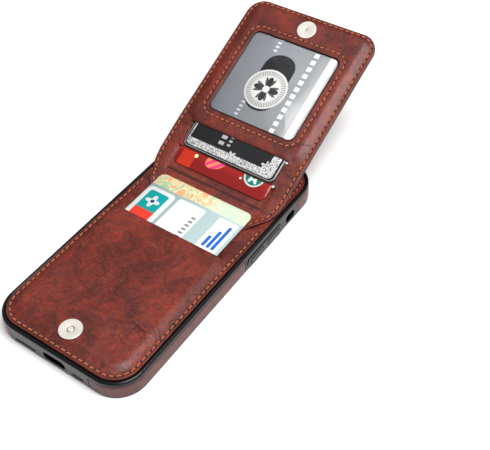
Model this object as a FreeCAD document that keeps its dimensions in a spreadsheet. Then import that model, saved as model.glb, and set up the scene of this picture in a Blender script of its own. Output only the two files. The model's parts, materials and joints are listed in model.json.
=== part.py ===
import FreeCAD, Part
import math
import os

import Sketcher

# A phone wallet case: a soft bumper with a stiff leather-covered back, a card pocket on the
# back and a leather flap with card slots that folds over the pocket and snaps shut.
# The case lies screen side down and open. Millimetres; the origin is on the table at the
# middle of the case. +X is to the right seen from the back, +Y runs towards the camera end
# and +Z is up. The flap hinges on a line along X and stands off the camera end.

Vector = FreeCAD.Vector

SIZES = {
    # the moulded case
    "case_width": 75.4, "case_length": 150.7, "case_corner": 14.3, "case_height": 10.4,
    "wall": 1.75, "lip_depth": 0.8, "lip_width": 1.5, "cavity_depth": 7.45,
    "lining_thickness": 0.25, "plate_thickness": 0.9, "panel_thickness": 0.8,
    # leather strips let into the outside of the wall
    "strip_thickness": 0.5, "strip_bottom": 0.9, "strip_top": 7.9,
    "strip_side_low": 11.0, "strip_side_high": 55.0, "strip_end_right": 19.0,
    "strip_end_left": 25.0,
    # openings in the wall
    "port_width": 12.6, "port_low": 2.3, "port_high": 7.1,
    "speaker_low": 9.7, "speaker_high": 16.1, "microphone_low": 11.0, "microphone_high": 23.0,
    "slot_low": 2.3, "slot_high": 3.6,
    "mute_low": 44.6, "mute_high": 52.2, "mute_bottom": 1.9, "mute_top": 6.5,
    # buttons
    "button_gap": 0.15, "button_bottom": 2.0, "button_height": 3.4, "button_proud": 0.45,
    "volume_length": 10.6, "volume_down_low": 14.6, "volume_up_low": 28.4,
    "power_length": 16.0, "power_low": 20.0, "button_inside": 0.35,
    # camera cut-out
    "bezel_right": 0.3, "bezel_low": 35.3, "bezel_high": 73.55, "bezel_left": 35.95,
    "bezel_height": 1.5, "bezel_corner": 9.0, "cutout_right": 1.8, "cutout_left": 31.4,
    "cutout_low": 37.2, "cutout_high": 69.2, "cutout_corner": 8.0,
    # card pocket on the back
    "pocket_mouth": 3.5, "pocket_half": 35.6, "pocket_bottom": 73.3, "pocket_corner": 12.3,
    "pocket_inner_half": 28.2, "pocket_floor": 57.2, "pocket_sheet": 0.55,
    "hem_crest_half": 30.6, "hem_foot_half": 33.0, "hem_foot_height": 0.8,
    "hem_crest_end": 69.3,
    # cards
    "card_width": 53.98, "card_length": 85.6, "card_thickness": 0.76, "card_corner": 3.18,
    "card_gap": 0.04, "insert_length": 70.0, "insert_thickness": 0.4,
    "base_card_high": 33.35, "red_card_low": 6.5, "black_card_low": 16.0,
    "insert_low": 31.4, "outer_card_low": 6.0,
    # hinge
    "hinge_y": 34.0, "hinge_z": 13.8, "open_angle": 23.67,
    "tab_thickness": 0.8, "tab_low": 22.5, "tab_end_half": 28.0, "tab_half": 35.6,
    "tab_corner_y": 30.0, "fold_low": 33.5, "fold_high": 35.1, "fold_top": 12.6,
    # flap
    "flap_half": 37.1, "flap_start": 3.0, "flap_length": 106.0, "flap_corner": 9.0,
    "window_panel": 0.45, "film": 0.15, "film_margin": 2.0,
    "window_half": 25.0, "window_low": 38.6, "window_high": 87.8, "window_corner": 3.5,
    "slot_opening_half": 27.7, "slot_opening_low": 5.8, "slot_mouth": 29.0,
    "slot_panel": 0.3, "slot_panel_low": 15.5, "flap_inner_half": 28.0,
    "flap_inner_end": 102.4, "hem_turn": 96.0, "flap_lining": 0.3, "flap_leather": 0.5,
    "outer_mouth": 17.5, "outer_panel": 0.45,
    "overlay": 0.35, "overlay_side": 34.7, "overlay_apex": 42.8,
    # snaps
    "snap_radius": 5.25, "snap_y": 63.0, "snap_flange": 0.6, "snap_boss_radius": 2.3,
    "snap_boss": 0.15, "flap_snap_radius": 5.0, "flap_snap_s": 96.8,
    "flap_snap_flange": 0.5,
    # stitches
    "stitch_length": 2.5, "stitch_width": 0.6, "stitch_height": 0.2, "stitch_pitch": 3.7,
}

doc = FreeCAD.newDocument("phone_wallet_case")
sheet = doc.addObject("Spreadsheet::Sheet", "Sizes")
for row, (alias, number) in enumerate(SIZES.items(), start=1):
    sheet.set(f"A{row}", alias)
    sheet.set(f"B{row}", str(number))
    sheet.setAlias(f"B{row}", alias)
doc.recompute()


class Length:
    """A number together with the sheet formula that gives it, so the two always agree."""

    def __init__(self, value, formula):
        self.value = value
        self.formula = formula

    def join(self, other, sign, value):
        formula = other.formula if isinstance(other, Length) else str(other)
        return Length(value, f"({self.formula} {sign} {formula})")

    def __add__(self, other):
        return self.join(other, "+", self.value + number_of(other))

    def __sub__(self, other):
        return self.join(other, "-", self.value - number_of(other))

    def __mul__(self, other):
        return self.join(other, "*", self.value * number_of(other))

    def __truediv__(self, other):
        return self.join(other, "/", self.value / number_of(other))

    def __neg__(self):
        return Length(-self.value, f"(-1 * {self.formula})")


def number_of(item):
    return item.value if isinstance(item, Length) else item


def size(alias):
    return Length(SIZES[alias], f"Sizes.{alias}")


ZERO = Length(0.0, "0")
HINGE_COS = Length(math.cos(math.radians(SIZES["open_angle"])), "cos(Sizes.open_angle * 1 deg)")
HINGE_SIN = Length(math.sin(math.radians(SIZES["open_angle"])), "sin(Sizes.open_angle * 1 deg)")

subparts = []


def keep(shape_object, name):
    """Name an object as one sub-part of the case."""
    shape_object.Label = name
    subparts.append(shape_object)
    return shape_object


# ---------------------------------------------------------------- sketches and bodies


def pin(sketch, kind, geometry, point, length):
    """Fix the X or Y of a sketch point at a distance from the sketch's origin."""
    axis = -2 if kind == "DistanceX" else -1
    if length.value == 0:
        sketch.addConstraint(Sketcher.Constraint("PointOnObject", geometry, point, axis))
        return
    ahead = length.value > 0
    ends = (-1, 1, geometry, point) if ahead else (geometry, point, -1, 1)
    index = sketch.addConstraint(Sketcher.Constraint(kind, *ends, abs(length.value)))
    formula = length.formula if ahead else (-length).formula
    sketch.setExpression(f"Constraints[{index}]", formula)


def unit(start, end):
    """The direction from one corner to the next."""
    step = Vector(end[0].value - start[0].value, end[1].value - start[1].value, 0)
    return step.normalize()


def outline(sketch, corners):
    """Draw a closed outline through corners (x, y, radius), anticlockwise.

    A corner with a radius lies between a horizontal and a vertical edge. A sharp corner,
    radius None, may also end a slanted edge.
    """
    count = len(corners)
    points = [Vector(x.value, y.value, 0) for x, y, _ in corners]
    headings = [unit(corners[i], corners[(i + 1) % count]) for i in range(count)]
    reach = [radius.value if radius else 0.0 for _, _, radius in corners]
    first = sketch.GeometryCount
    for i in range(count):
        j = (i + 1) % count
        begin = points[i] + headings[i] * reach[i]
        finish = points[j] - headings[i] * reach[j]
        sketch.addGeometry(Part.LineSegment(begin, finish))
    arcs = {}
    for i in range(count):
        if not reach[i]:
            continue
        before = headings[i - 1]
        after = headings[i]
        begin = points[i] - before * reach[i]
        finish = points[i] + after * reach[i]
        centre = begin + after * reach[i]
        arcs[i] = sketch.addGeometry(quarter_arc(centre, begin, finish, reach[i]))
    for i in range(count):
        line = first + i
        flat = abs(headings[i].y) < 1e-9
        upright = abs(headings[i].x) < 1e-9
        if flat:
            sketch.addConstraint(Sketcher.Constraint("Horizontal", line))
            pin(sketch, "DistanceY", line, 1, corners[i][1])
        elif upright:
            sketch.addConstraint(Sketcher.Constraint("Vertical", line))
            pin(sketch, "DistanceX", line, 1, corners[i][0])
    for i in range(count):
        line = first + i
        previous = first + (i - 1) % count
        if i in arcs:
            radius = sketch.addConstraint(Sketcher.Constraint("Radius", arcs[i], reach[i]))
            sketch.setExpression(f"Constraints[{radius}]", corners[i][2].formula)
            turn_left = headings[i - 1].cross(headings[i]).z > 0
            near, far = (1, 2) if turn_left else (2, 1)
            sketch.addConstraint(Sketcher.Constraint("Tangent", previous, 2, arcs[i], near))
            sketch.addConstraint(Sketcher.Constraint("Tangent", line, 1, arcs[i], far))
            continue
        sketch.addConstraint(Sketcher.Constraint("Coincident", previous, 2, line, 1))
        edges = (headings[i - 1], headings[i])
        slanted = [abs(h.x) > 1e-9 and abs(h.y) > 1e-9 for h in edges]
        if not any(slanted):
            continue
        has_y = any(abs(h.y) < 1e-9 for h in edges)
        has_x = any(abs(h.x) < 1e-9 for h in edges)
        if not has_x:
            pin(sketch, "DistanceX", line, 1, corners[i][0])
        if not has_y:
            pin(sketch, "DistanceY", line, 1, corners[i][1])


def quarter_arc(centre, begin, finish, radius):
    """The quarter arc between two points, drawn anticlockwise as a sketch needs it."""
    circle = Part.Circle(centre, Vector(0, 0, 1), radius)
    angles = [math.atan2(p.y - centre.y, p.x - centre.x) for p in (begin, finish)]
    turn = (angles[1] - angles[0]) % (2 * math.pi)
    low, high = angles if turn < math.pi else reversed(angles)
    return Part.ArcOfCircle(circle, low, high)


def rectangle(x_low, x_high, y_low, y_high, radius=None):
    """The four corners of a rectangle, for outline()."""
    return [
        (x_low, y_low, radius), (x_high, y_low, radius),
        (x_high, y_high, radius), (x_low, y_high, radius),
    ]


def plane(body, role):
    """One of a body's own origin planes."""
    return [item for item in body.Origin.OriginFeatures if item.Role == role][0]


def sketch_on(body, name, outlines, role="XY_Plane", offset=None):
    """A sketch of closed outlines on one of the body's origin planes."""
    sketch = body.newObject("Sketcher::SketchObject", name)
    sketch.AttachmentSupport = [(plane(body, role), "")]
    sketch.MapMode = "FlatFace"
    if offset:
        sketch.setExpression("AttachmentOffset.Base.z", offset.formula)
    for corners in outlines:
        outline(sketch, corners)
    return sketch


def pad(body, name, outlines, thickness, offset=None, role="XY_Plane"):
    """Thicken outlines into the body, upwards from the offset."""
    sketch = sketch_on(body, f"{name}_sketch", outlines, role, offset)
    feature = body.newObject("PartDesign::Pad", f"{name}_pad")
    feature.Profile = sketch
    feature.setExpression("Length", thickness.formula)
    doc.recompute()
    return feature


def new_body(name):
    return doc.addObject("PartDesign::Body", f"{name}_body")


def lift(item, height):
    """Raise an item to a height above the table."""
    item.setExpression("Placement.Base.z", height.formula)


def on_flap(item, depth, along=ZERO):
    """Put an item on the open flap. Its own Y runs from the hinge towards the flap's free
    end and its own Z points out of the flap's inner face; depth is its height there."""
    item.Placement.Rotation = FreeCAD.Rotation(Vector(1, 0, 0), SIZES["open_angle"])
    item.setExpression("Placement.Rotation.Angle", "Sizes.open_angle")
    y = size("hinge_y") + along * HINGE_COS - depth * HINGE_SIN
    z = size("hinge_z") + along * HINGE_SIN + depth * HINGE_COS
    item.setExpression("Placement.Base.y", y.formula)
    item.setExpression("Placement.Base.z", z.formula)


def sheet_body(name, outlines, thickness, height=None, depth=None):
    """A flat sheet: lying at a height on the case, or at a depth in the flap."""
    body = new_body(name)
    pad(body, name, outlines, thickness)
    if depth is None:
        lift(body, height)
    else:
        on_flap(body, depth)
    return keep(body, name)


# ---------------------------------------------------------------- primitives


def box(name, x, y, z):
    """A box between (low, high) pairs of lengths."""
    item = doc.addObject("Part::Box", name)
    for side, (low, high), axis in zip(("Length", "Width", "Height"), (x, y, z), "xyz"):
        item.setExpression(side, (high - low).formula)
        item.setExpression(f"Placement.Base.{axis}", low.formula)
    return item


def cylinder(name, radius, length, y, z):
    """An upright disc on the middle line of the case."""
    item = doc.addObject("Part::Cylinder", name)
    item.setExpression("Radius", radius.formula)
    item.setExpression("Height", length.formula)
    item.setExpression("Placement.Base.y", y.formula)
    item.setExpression("Placement.Base.z", z.formula)
    return item


def boolean(kind, name, base, tool):
    """A Part::Cut or Part::Common of two objects."""
    item = doc.addObject(f"Part::{kind}", name)
    item.Base = base
    item.Tool = tool
    return item


def fuse(name, items):
    item = doc.addObject("Part::MultiFuse", name)
    item.Shapes = items
    return item


# ---------------------------------------------------------------- the moulded case

half_width = size("case_width") / 2
half_length = size("case_length") / 2
cavity_half_width = half_width - size("wall")
cavity_half_length = half_length - size("wall")
cavity_corner = size("case_corner") - size("wall")
cavity_top = size("lip_depth") + size("cavity_depth")
plate_bottom = cavity_top + size("lining_thickness")
panel_bottom = plate_bottom + size("plate_thickness")
panel_top = panel_bottom + size("panel_thickness")


def centred(half_x, half_y, radius):
    return rectangle(-half_x, half_x, -half_y, half_y, radius)


def case_outline(inset):
    """The case's outside outline, moved inwards."""
    corner = size("case_corner") - inset
    return centred(half_width - inset, half_length - inset, corner)


cutout = rectangle(
    -size("cutout_left"), -size("cutout_right"), size("cutout_low"), size("cutout_high"),
    size("cutout_corner"),
)


def side_strips():
    """Four leather strips round the corners, leaving the buttons and ports bare."""
    ring = new_body("strip_ring")
    depth = size("strip_top") - size("strip_bottom")
    pad(ring, "strip_ring", [case_outline(ZERO), case_outline(size("strip_thickness"))], depth)
    lift(ring, size("strip_bottom"))
    beyond = half_length + 5
    strips = []
    for side in ("left", "right"):
        wide = half_width + 5
        for end in ("lower", "upper"):
            reach = size(f"strip_end_{side}") if end == "lower" else size("strip_end_right")
            x = (reach, wide) if side == "right" else (-wide, -reach)
            low = size("strip_side_low")
            y = (-beyond, low) if end == "lower" else (size("strip_side_high"), beyond)
            name = f"{end}_{side}_strip"
            block = box(f"{name}_block", x, y, (ZERO, size("case_height")))
            strips.append(keep(boolean("Common", f"{name}_common", ring, block), name))
    return strips


def wall_openings():
    """Blocks where the wall is open: ports, speaker slots, switch and buttons."""
    gap = size("button_gap")
    end_wall = (-half_length - 1, -half_length + size("wall") + 1)
    right_wall = (half_width - size("wall") - 1, half_width + 1)
    left_wall = (-half_width - 1, -half_width + size("wall") + 1)
    slot = (size("slot_low"), size("slot_high"))
    half_port = size("port_width") / 2
    blocks = [
        box("port_block", (-half_port, half_port), end_wall,
            (size("port_low"), size("port_high"))),
        box("speaker_block", (size("speaker_low"), size("speaker_high")), end_wall, slot),
        box("microphone_block", (-size("microphone_high"), -size("microphone_low")), end_wall,
            slot),
        box("mute_block", right_wall, (size("mute_low"), size("mute_high")),
            (size("mute_bottom"), size("mute_top"))),
    ]
    z = (size("button_bottom") - gap, size("button_bottom") + size("button_height") + gap)
    for name, low, length, wall in button_places():
        x = right_wall if wall > 0 else left_wall
        blocks.append(box(f"{name}_block", x, (low - gap, low + length + gap), z))
    return fuse("wall_openings", blocks)


def button_places():
    """Each button's name, lower end, length and the side of the case that it is on."""
    return [
        ("volume_down_button", size("volume_down_low"), size("volume_length"), 1),
        ("volume_up_button", size("volume_up_low"), size("volume_length"), 1),
        ("power_button", size("power_low"), size("power_length"), -1),
    ]


def buttons():
    """Buttons that slide through the wall, a little proud of it."""
    z = (size("button_bottom"), size("button_bottom") + size("button_height"))
    inner = half_width - size("wall") + size("button_inside")
    outer = half_width + size("button_proud")
    for name, low, length, wall in button_places():
        x = (inner, outer) if wall > 0 else (-outer, -inner)
        body = new_body(name)
        block = body.newObject("PartDesign::AdditiveBox", f"{name}_box")
        for side, extent in zip(("Length", "Width", "Height"), (x[1] - x[0], length, z[1] - z[0])):
            block.setExpression(side, extent.formula)
        for axis, start in zip("xyz", (x[0], low, z[0])):
            body.setExpression(f"Placement.Base.{axis}", start.formula)
        doc.recompute()
        face = "Face2" if wall > 0 else "Face1"
        round_off = body.newObject("PartDesign::Fillet", f"{name}_fillet")
        round_off.Base = (block, [face])
        round_off.setExpression("Radius", (size("button_proud") * 0.6).formula)
        doc.recompute()
        keep(body, name)


def bumper(strips):
    """The soft bumper: a wall round the phone and a lip round its screen."""
    body = new_body("tpu_bumper")
    lip = size("wall") + size("lip_width")
    pad(body, "lip", [case_outline(ZERO), case_outline(lip)], size("lip_depth"))
    pad(body, "wall", [case_outline(ZERO), case_outline(size("wall"))],
        size("case_height") - size("lip_depth"), offset=size("lip_depth"))
    recessed = boolean("Cut", "recessed_wall", body, fuse("strip_recesses", strips))
    keep(boolean("Cut", "open_wall", recessed, wall_openings()), "tpu_bumper")


def back_sheets():
    """What closes the back: cloth lining, stiff plate and the leather over it."""
    inside = centred(cavity_half_width, cavity_half_length, cavity_corner)
    sheet_body("microfibre_lining", [inside, cutout], size("lining_thickness"),
               height=cavity_top)
    sheet_body("hard_back_plate", [inside, cutout], size("plate_thickness"),
               height=plate_bottom)
    notched = [
        (-cavity_half_width, -cavity_half_length, cavity_corner),
        (cavity_half_width, -cavity_half_length, cavity_corner),
        (cavity_half_width, cavity_half_length, cavity_corner),
        (-size("bezel_right"), cavity_half_length, None),
        (-size("bezel_right"), size("bezel_low"), size("bezel_corner")),
        (-cavity_half_width, size("bezel_low"), None),
    ]
    sheet_body("back_leather_panel", [notched], size("panel_thickness"), height=panel_bottom)


def camera_bezel():
    """The raised frame round the camera cut-out, filling the corner beside the leather."""
    frame = [
        (-size("bezel_left"), size("bezel_low"), None),
        (-size("bezel_right"), size("bezel_low"), size("bezel_corner")),
        (-size("bezel_right"), size("bezel_high"), None),
        (-size("bezel_left"), size("bezel_high"), cavity_corner),
    ]
    sheet_body("camera_bezel", [frame, cutout], size("bezel_height"), height=panel_bottom)


# ---------------------------------------------------------------- the pocket on the back

card_half = size("card_width") / 2
tab_top = panel_top + size("tab_thickness")
base_card_bottom = tab_top + size("card_gap")
pocket_under = base_card_bottom + size("card_thickness") + size("card_gap")
pocket_top = pocket_under + size("pocket_sheet")
foot_top = panel_top + size("hem_foot_height")


def pocket():
    """The pocket's front sheet between padded hems at its sides and its lower end."""
    inner = size("pocket_inner_half")
    mouth = size("pocket_mouth")
    floor = -size("pocket_floor")
    sheet_body("pocket_front", [rectangle(-inner, inner, floor, mouth)], size("pocket_sheet"),
               height=pocket_under)
    section = [
        (inner, panel_top, None), (size("pocket_half"), panel_top, None),
        (size("pocket_half"), foot_top, None), (size("hem_foot_half"), foot_top, None),
        (size("hem_crest_half"), pocket_top, None), (inner, pocket_top, None),
    ]
    mirrored = [(-x, z, radius) for x, z, radius in reversed(section)]
    hems = []
    for side, profile in (("right", section), ("left", mirrored)):
        body = new_body(f"{side}_hem")
        pad(body, f"{side}_hem", [profile], mouth - floor, role="XZ_Plane")
        body.setExpression("Placement.Base.y", mouth.formula)
        hems.append(body)
    hems.append(lower_hem(floor))
    hem = fuse("pocket_hems", hems)
    keep(hem, "pocket_hem")


def lower_hem(floor):
    """The padded area under the pocket, where the snap sits, sloping down at its edge."""
    half = size("pocket_half")
    end = -size("pocket_bottom")
    body = new_body("lower_hem")
    corner = size("pocket_corner")
    foot = [(-half, end, corner), (half, end, corner), (half, floor, None), (-half, floor, None)]
    pad(body, "foot", [foot], size("hem_foot_height"))
    crest_half = size("hem_crest_half")
    crest_end = -size("hem_crest_end")
    crest_corner = corner - (size("hem_foot_half") - crest_half)
    crest = [
        (-crest_half, crest_end, crest_corner), (crest_half, crest_end, crest_corner),
        (crest_half, floor, None), (-crest_half, floor, None),
    ]
    pad(body, "crest", [crest], pocket_top - foot_top, offset=size("hem_foot_height"))
    lift(body, panel_top)
    return body


def card(name, x_half, y_low, y_high, thickness, height=None, depth=None):
    outer = rectangle(-x_half, x_half, y_low, y_high, size("card_corner"))
    sheet_body(name, [outer], thickness, height=height, depth=depth)


def hinge_pieces():
    """The leather tab sewn to the back and the fold that carries the flap."""
    half = size("tab_half")
    end = size("tab_end_half")
    tab = [
        (-end, size("tab_low"), None), (end, size("tab_low"), None),
        (half, size("tab_corner_y"), None), (half, size("fold_low"), None),
        (-half, size("fold_low"), None), (-half, size("tab_corner_y"), None),
    ]
    sheet_body("hinge_tab", [tab], size("tab_thickness"), height=panel_top)
    fold = rectangle(-half, half, size("fold_low"), size("fold_high"))
    sheet_body("hinge_fold", [fold], size("fold_top") - panel_top, height=panel_top)


def base_snap():
    """The lower half of the snap: a disc with a small raised boss."""
    y = -size("snap_y")
    keep(cylinder("base_snap_flange", size("snap_radius"), size("snap_flange"), y, pocket_top),
         "base_snap_disc")
    boss_z = pocket_top + size("snap_flange")
    keep(cylinder("base_snap_stud", size("snap_boss_radius"), size("snap_boss"), y, boss_z),
         "base_snap_boss")


# ---------------------------------------------------------------- the flap

window_panel_depth = -size("window_panel")
film_depth = window_panel_depth - size("film")
insert_depth = film_depth - size("card_gap") - size("insert_thickness")
black_depth = insert_depth - size("card_gap") - size("card_thickness")
slot_panel_depth = black_depth - size("card_gap") - size("slot_panel")
red_depth = slot_panel_depth - size("card_gap") - size("card_thickness")
lining_depth = red_depth - size("card_gap") - size("flap_lining")
leather_depth = lining_depth - size("flap_leather")
outer_card_depth = leather_depth - size("card_gap") - size("card_thickness")
outer_panel_depth = outer_card_depth - size("card_gap") - size("outer_panel")
overlay_depth = outer_panel_depth - size("overlay")


def flap_outline(start, inset=ZERO):
    """The flap's outline from a start to its rounded free end."""
    half = size("flap_half") - inset
    end = size("flap_length") - inset
    corner = size("flap_corner") - inset
    return [(-half, start, None), (half, start, None), (half, end, corner), (-half, end, corner)]


def flap_sheets():
    """The leather and cloth sheets of the flap, from its inner face outwards."""
    start = size("flap_start")
    window = rectangle(-size("window_half"), size("window_half"), size("window_low"),
                       size("window_high"), size("window_corner"))
    slots = rectangle(-size("slot_opening_half"), size("slot_opening_half"),
                      size("slot_opening_low"), size("slot_mouth"))
    sheet_body("flap_window_panel", [flap_outline(start), window, slots],
               size("window_panel"), depth=window_panel_depth)
    margin = size("film_margin")
    film_half = size("window_half") + margin
    film = rectangle(-film_half, film_half, size("window_low") - margin,
                     size("window_high") + margin)
    sheet_body("id_window_film", [film], size("film"), depth=film_depth)
    inner = size("flap_inner_half")
    divider = rectangle(-inner, inner, size("slot_panel_low"), size("flap_inner_end"))
    sheet_body("slot_divider", [divider], size("slot_panel"), depth=slot_panel_depth)
    sheet_body("flap_lining", [flap_outline(start)], size("flap_lining"), depth=lining_depth)
    sheet_body("flap_outer_leather", [flap_outline(start)], size("flap_leather"),
               depth=leather_depth)
    sheet_body("outer_pocket_panel", [flap_outline(size("outer_mouth"))], size("outer_panel"),
               depth=outer_panel_depth)
    half = size("flap_half")
    side = size("overlay_side")
    mouth = size("outer_mouth")
    overlay = [
        (-half, mouth, None), (half, mouth, None), (half, side, None),
        (ZERO, size("overlay_apex"), None), (-half, side, None),
    ]
    sheet_body("outer_overlay", [overlay], size("overlay"), depth=overlay_depth)


def hem(name, start, depth, thickness):
    """Turned-in edges at the sides and free end that hold two sheets apart."""
    half = size("flap_half")
    inner = size("flap_inner_half")
    floor = size("flap_inner_end")
    end = size("flap_length")
    corner = size("flap_corner")
    turn = size("hem_turn")
    outlines = {
        "right": rectangle(inner, half, start, turn),
        "left": rectangle(-half, -inner, start, turn),
        "end": [(-half, turn, None), (-inner, turn, None), (-inner, floor, None),
                (inner, floor, None), (inner, turn, None), (half, turn, None),
                (half, end, corner), (-half, end, corner)],
    }
    solids = []
    for place, corners in outlines.items():
        body = new_body(f"{name}_{place}")
        pad(body, f"{name}_{place}", [corners], thickness)
        on_flap(body, depth)
        solids.append(body)
    group = doc.addObject("Part::Compound", f"{name}_group")
    group.Links = solids
    keep(group, name)


def flap_hems():
    """The hem between the window panel and the lining, and the one of the outer pocket."""
    lining_face = lining_depth + size("flap_lining")
    hem("flap_hem", size("flap_start"), lining_face, window_panel_depth - lining_face)
    panel_face = outer_panel_depth + size("outer_panel")
    hem("outer_pocket_hem", size("outer_mouth"), panel_face, leather_depth - panel_face)


def flap_cards():
    """The cards in the flap. The card behind the window is a short insert."""
    black = size("black_card_low")
    red = size("red_card_low")
    insert = size("insert_low")
    outer = size("outer_card_low")
    long = size("card_length")
    card("id_card", card_half, insert, insert + size("insert_length"),
         size("insert_thickness"), depth=insert_depth)
    card("black_card", card_half, black, black + long, size("card_thickness"),
         depth=black_depth)
    card("red_card", card_half, red, red + long, size("card_thickness"), depth=red_depth)
    card("outer_card", card_half, outer, outer + long, size("card_thickness"),
         depth=outer_card_depth)


def flap_snap():
    """The upper half of the snap on the inner face and its cap on the outer face."""
    place = size("flap_snap_s")
    disc = cylinder("flap_snap_flange", size("flap_snap_radius"), size("flap_snap_flange"),
                    ZERO, ZERO)
    on_flap(disc, ZERO, place)
    keep(disc, "flap_snap_disc")


# ---------------------------------------------------------------- stitching


def stitches(name, runs, place=None):
    """Rows of single thread stitches lying on a surface.

    A run is (list of points, stitch height): the stitches follow the straight lines
    between the points. Each point is (x, y, level) in the frame of the case, or of the flap
    if place is the flap's placement. A negative height lays the stitch under its level.
    """
    solids = []
    for points, height in runs:
        for start, end in zip(points, points[1:]):
            solids.extend(stitch_line(Vector(*start), Vector(*end), height))
    row = doc.addObject("Part::Feature", f"{name}_row")
    row.Shape = Part.makeCompound(solids)
    if place:
        row.Placement = place
    keep(row, name)


def stitch_line(start, end, height):
    """Evenly spaced stitches between two points."""
    run = end - start
    count = max(1, round(run.Length / SIZES["stitch_pitch"]))
    heading = math.degrees(math.atan2(run.y, run.x))
    long, wide = SIZES["stitch_length"], SIZES["stitch_width"]
    solids = []
    for i in range(count):
        middle = start + run * ((i + 0.5) / count)
        corner = Vector(-long / 2, -wide / 2, min(0, height))
        stitch = Part.makeBox(long, wide, abs(height), corner)
        stitch.rotate(Vector(0, 0, 0), Vector(0, 0, 1), heading)
        stitch.translate(middle)
        solids.append(stitch)
    return solids


def bend(centre_x, centre_y, radius, start, finish, height, steps=3):
    """Points round a corner, from one angle to another in degrees."""
    points = []
    for i in range(steps + 1):
        angle = math.radians(start + (finish - start) * i / steps)
        x = centre_x + radius * math.cos(angle)
        y = centre_y + radius * math.sin(angle)
        points.append((x, y, height))
    return points


def all_stitching():
    """Every seam that shows."""
    high = SIZES["stitch_height"]
    seam = SIZES["pocket_half"] - 1.7
    foot = foot_top.value
    low_end = SIZES["pocket_bottom"] - 2.0
    turn = SIZES["pocket_corner"] - 1.8
    lower = [(-seam, SIZES["pocket_mouth"] - 1, foot)]
    lower += bend(-seam + turn, -low_end + turn, turn, 180, 270, foot)
    lower += bend(seam - turn, -low_end + turn, turn, 270, 360, foot)
    lower += [(seam, SIZES["pocket_mouth"] - 1, foot)]
    stitches("pocket_stitching", [(lower, high)])

    flat = panel_top.value
    top_end = SIZES["bezel_high"] - 1.6
    notch = 2.0 - SIZES["bezel_right"]
    upper = [(seam, SIZES["fold_high"] + 1, flat)]
    upper += bend(seam - turn, top_end - turn, turn, 0, 90, flat)
    upper += [(notch, top_end, flat), (notch, SIZES["bezel_low"] + 4, flat)]
    middle_right = [(seam, SIZES["pocket_mouth"] + 1, flat), (seam, SIZES["tab_low"] + 3, flat)]
    middle_left = [(-x, y, z) for x, y, z in middle_right]
    stitches("back_panel_stitching", [(upper, high), (middle_right, high), (middle_left, high)])

    on_tab = tab_top.value
    tab_side = SIZES["tab_half"] - 1.8
    tab_end = SIZES["tab_end_half"] + 0.7
    tab_row = [
        (-tab_side, SIZES["fold_low"] - 0.4, on_tab),
        (-tab_side, SIZES["tab_corner_y"] + 1, on_tab),
        (-tab_end, SIZES["tab_low"] + 3.1, on_tab),
    ]
    stitches("tab_stitching", [(tab_row, high), ([(-x, y, z) for x, y, z in tab_row], high)])

    flap_place = FreeCAD.Placement(
        Vector(0, SIZES["hinge_y"], SIZES["hinge_z"]),
        FreeCAD.Rotation(Vector(1, 0, 0), SIZES["open_angle"]),
    )
    side = SIZES["flap_half"] - 1.7
    end = SIZES["flap_length"] - 1.8
    round_end = SIZES["flap_corner"] - 1.7

    def rim(start, level):
        row = [(side, start, level)]
        row += bend(side - round_end, end - round_end, round_end, 0, 90, level)
        row += bend(-side + round_end, end - round_end, round_end, 90, 180, level)
        return row + [(-side, start, level)]

    stitches("flap_inner_stitching", [(rim(SIZES["flap_start"] + 1, 0.0), high)], flap_place)
    margin = 2.7
    across = SIZES["window_half"] + margin
    below, above = SIZES["window_low"] - margin, SIZES["window_high"] + margin
    window = [(-across, below, 0), (across, below, 0), (across, above, 0), (-across, above, 0),
              (-across, below, 0)]
    stitches("window_stitching", [(window, high)], flap_place)
    panel_level = outer_panel_depth.value
    overlay_level = overlay_depth.value
    mouth = SIZES["outer_mouth"] + 1.7
    mouth_row = [(-side, mouth, overlay_level), (side, mouth, overlay_level)]
    v_side = SIZES["overlay_side"] - 2.2
    v_apex = SIZES["overlay_apex"] - 2.0
    v_row = [(-side, v_side, overlay_level), (0, v_apex, overlay_level),
             (side, v_side, overlay_level)]
    stitches("overlay_stitching", [(mouth_row, -high), (v_row, -high)], flap_place)
    rim_row = rim(SIZES["overlay_side"] + 1, panel_level)
    stitches("outer_pocket_stitching", [(rim_row, -high)], flap_place)


# ---------------------------------------------------------------- build and export

strips = side_strips()
bumper(strips)
buttons()
back_sheets()
camera_bezel()
pocket()
card("base_card", card_half, size("base_card_high") - size("card_length"),
     size("base_card_high"), size("card_thickness"), height=base_card_bottom)
hinge_pieces()
base_snap()
flap_sheets()
flap_hems()
flap_cards()
flap_snap()
doc.recompute()
all_stitching()
doc.recompute()

for item in doc.Objects:
    if "Invalid" in item.State or "Error" in item.State:
        raise RuntimeError(f"{item.Label} failed: {item.State}")
os.makedirs("parts", exist_ok=True)
for item in subparts:
    shape = item.Shape
    if shape.isNull() or not shape.isValid():
        raise RuntimeError(f"{item.Label} has no valid shape")
    shape.exportStep(f"parts/{item.Label}.step")
    print(f"{item.Label}: {len(shape.Solids)} solids, {shape.Volume:.1f} mm3")
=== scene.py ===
"""The looks of a leather phone wallet case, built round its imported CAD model."""

import json
import math
import random

import bmesh
import bpy
import numpy as np
from mathutils import Matrix, Vector, noise
from mathutils.geometry import delaunay_2d_cdt


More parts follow.
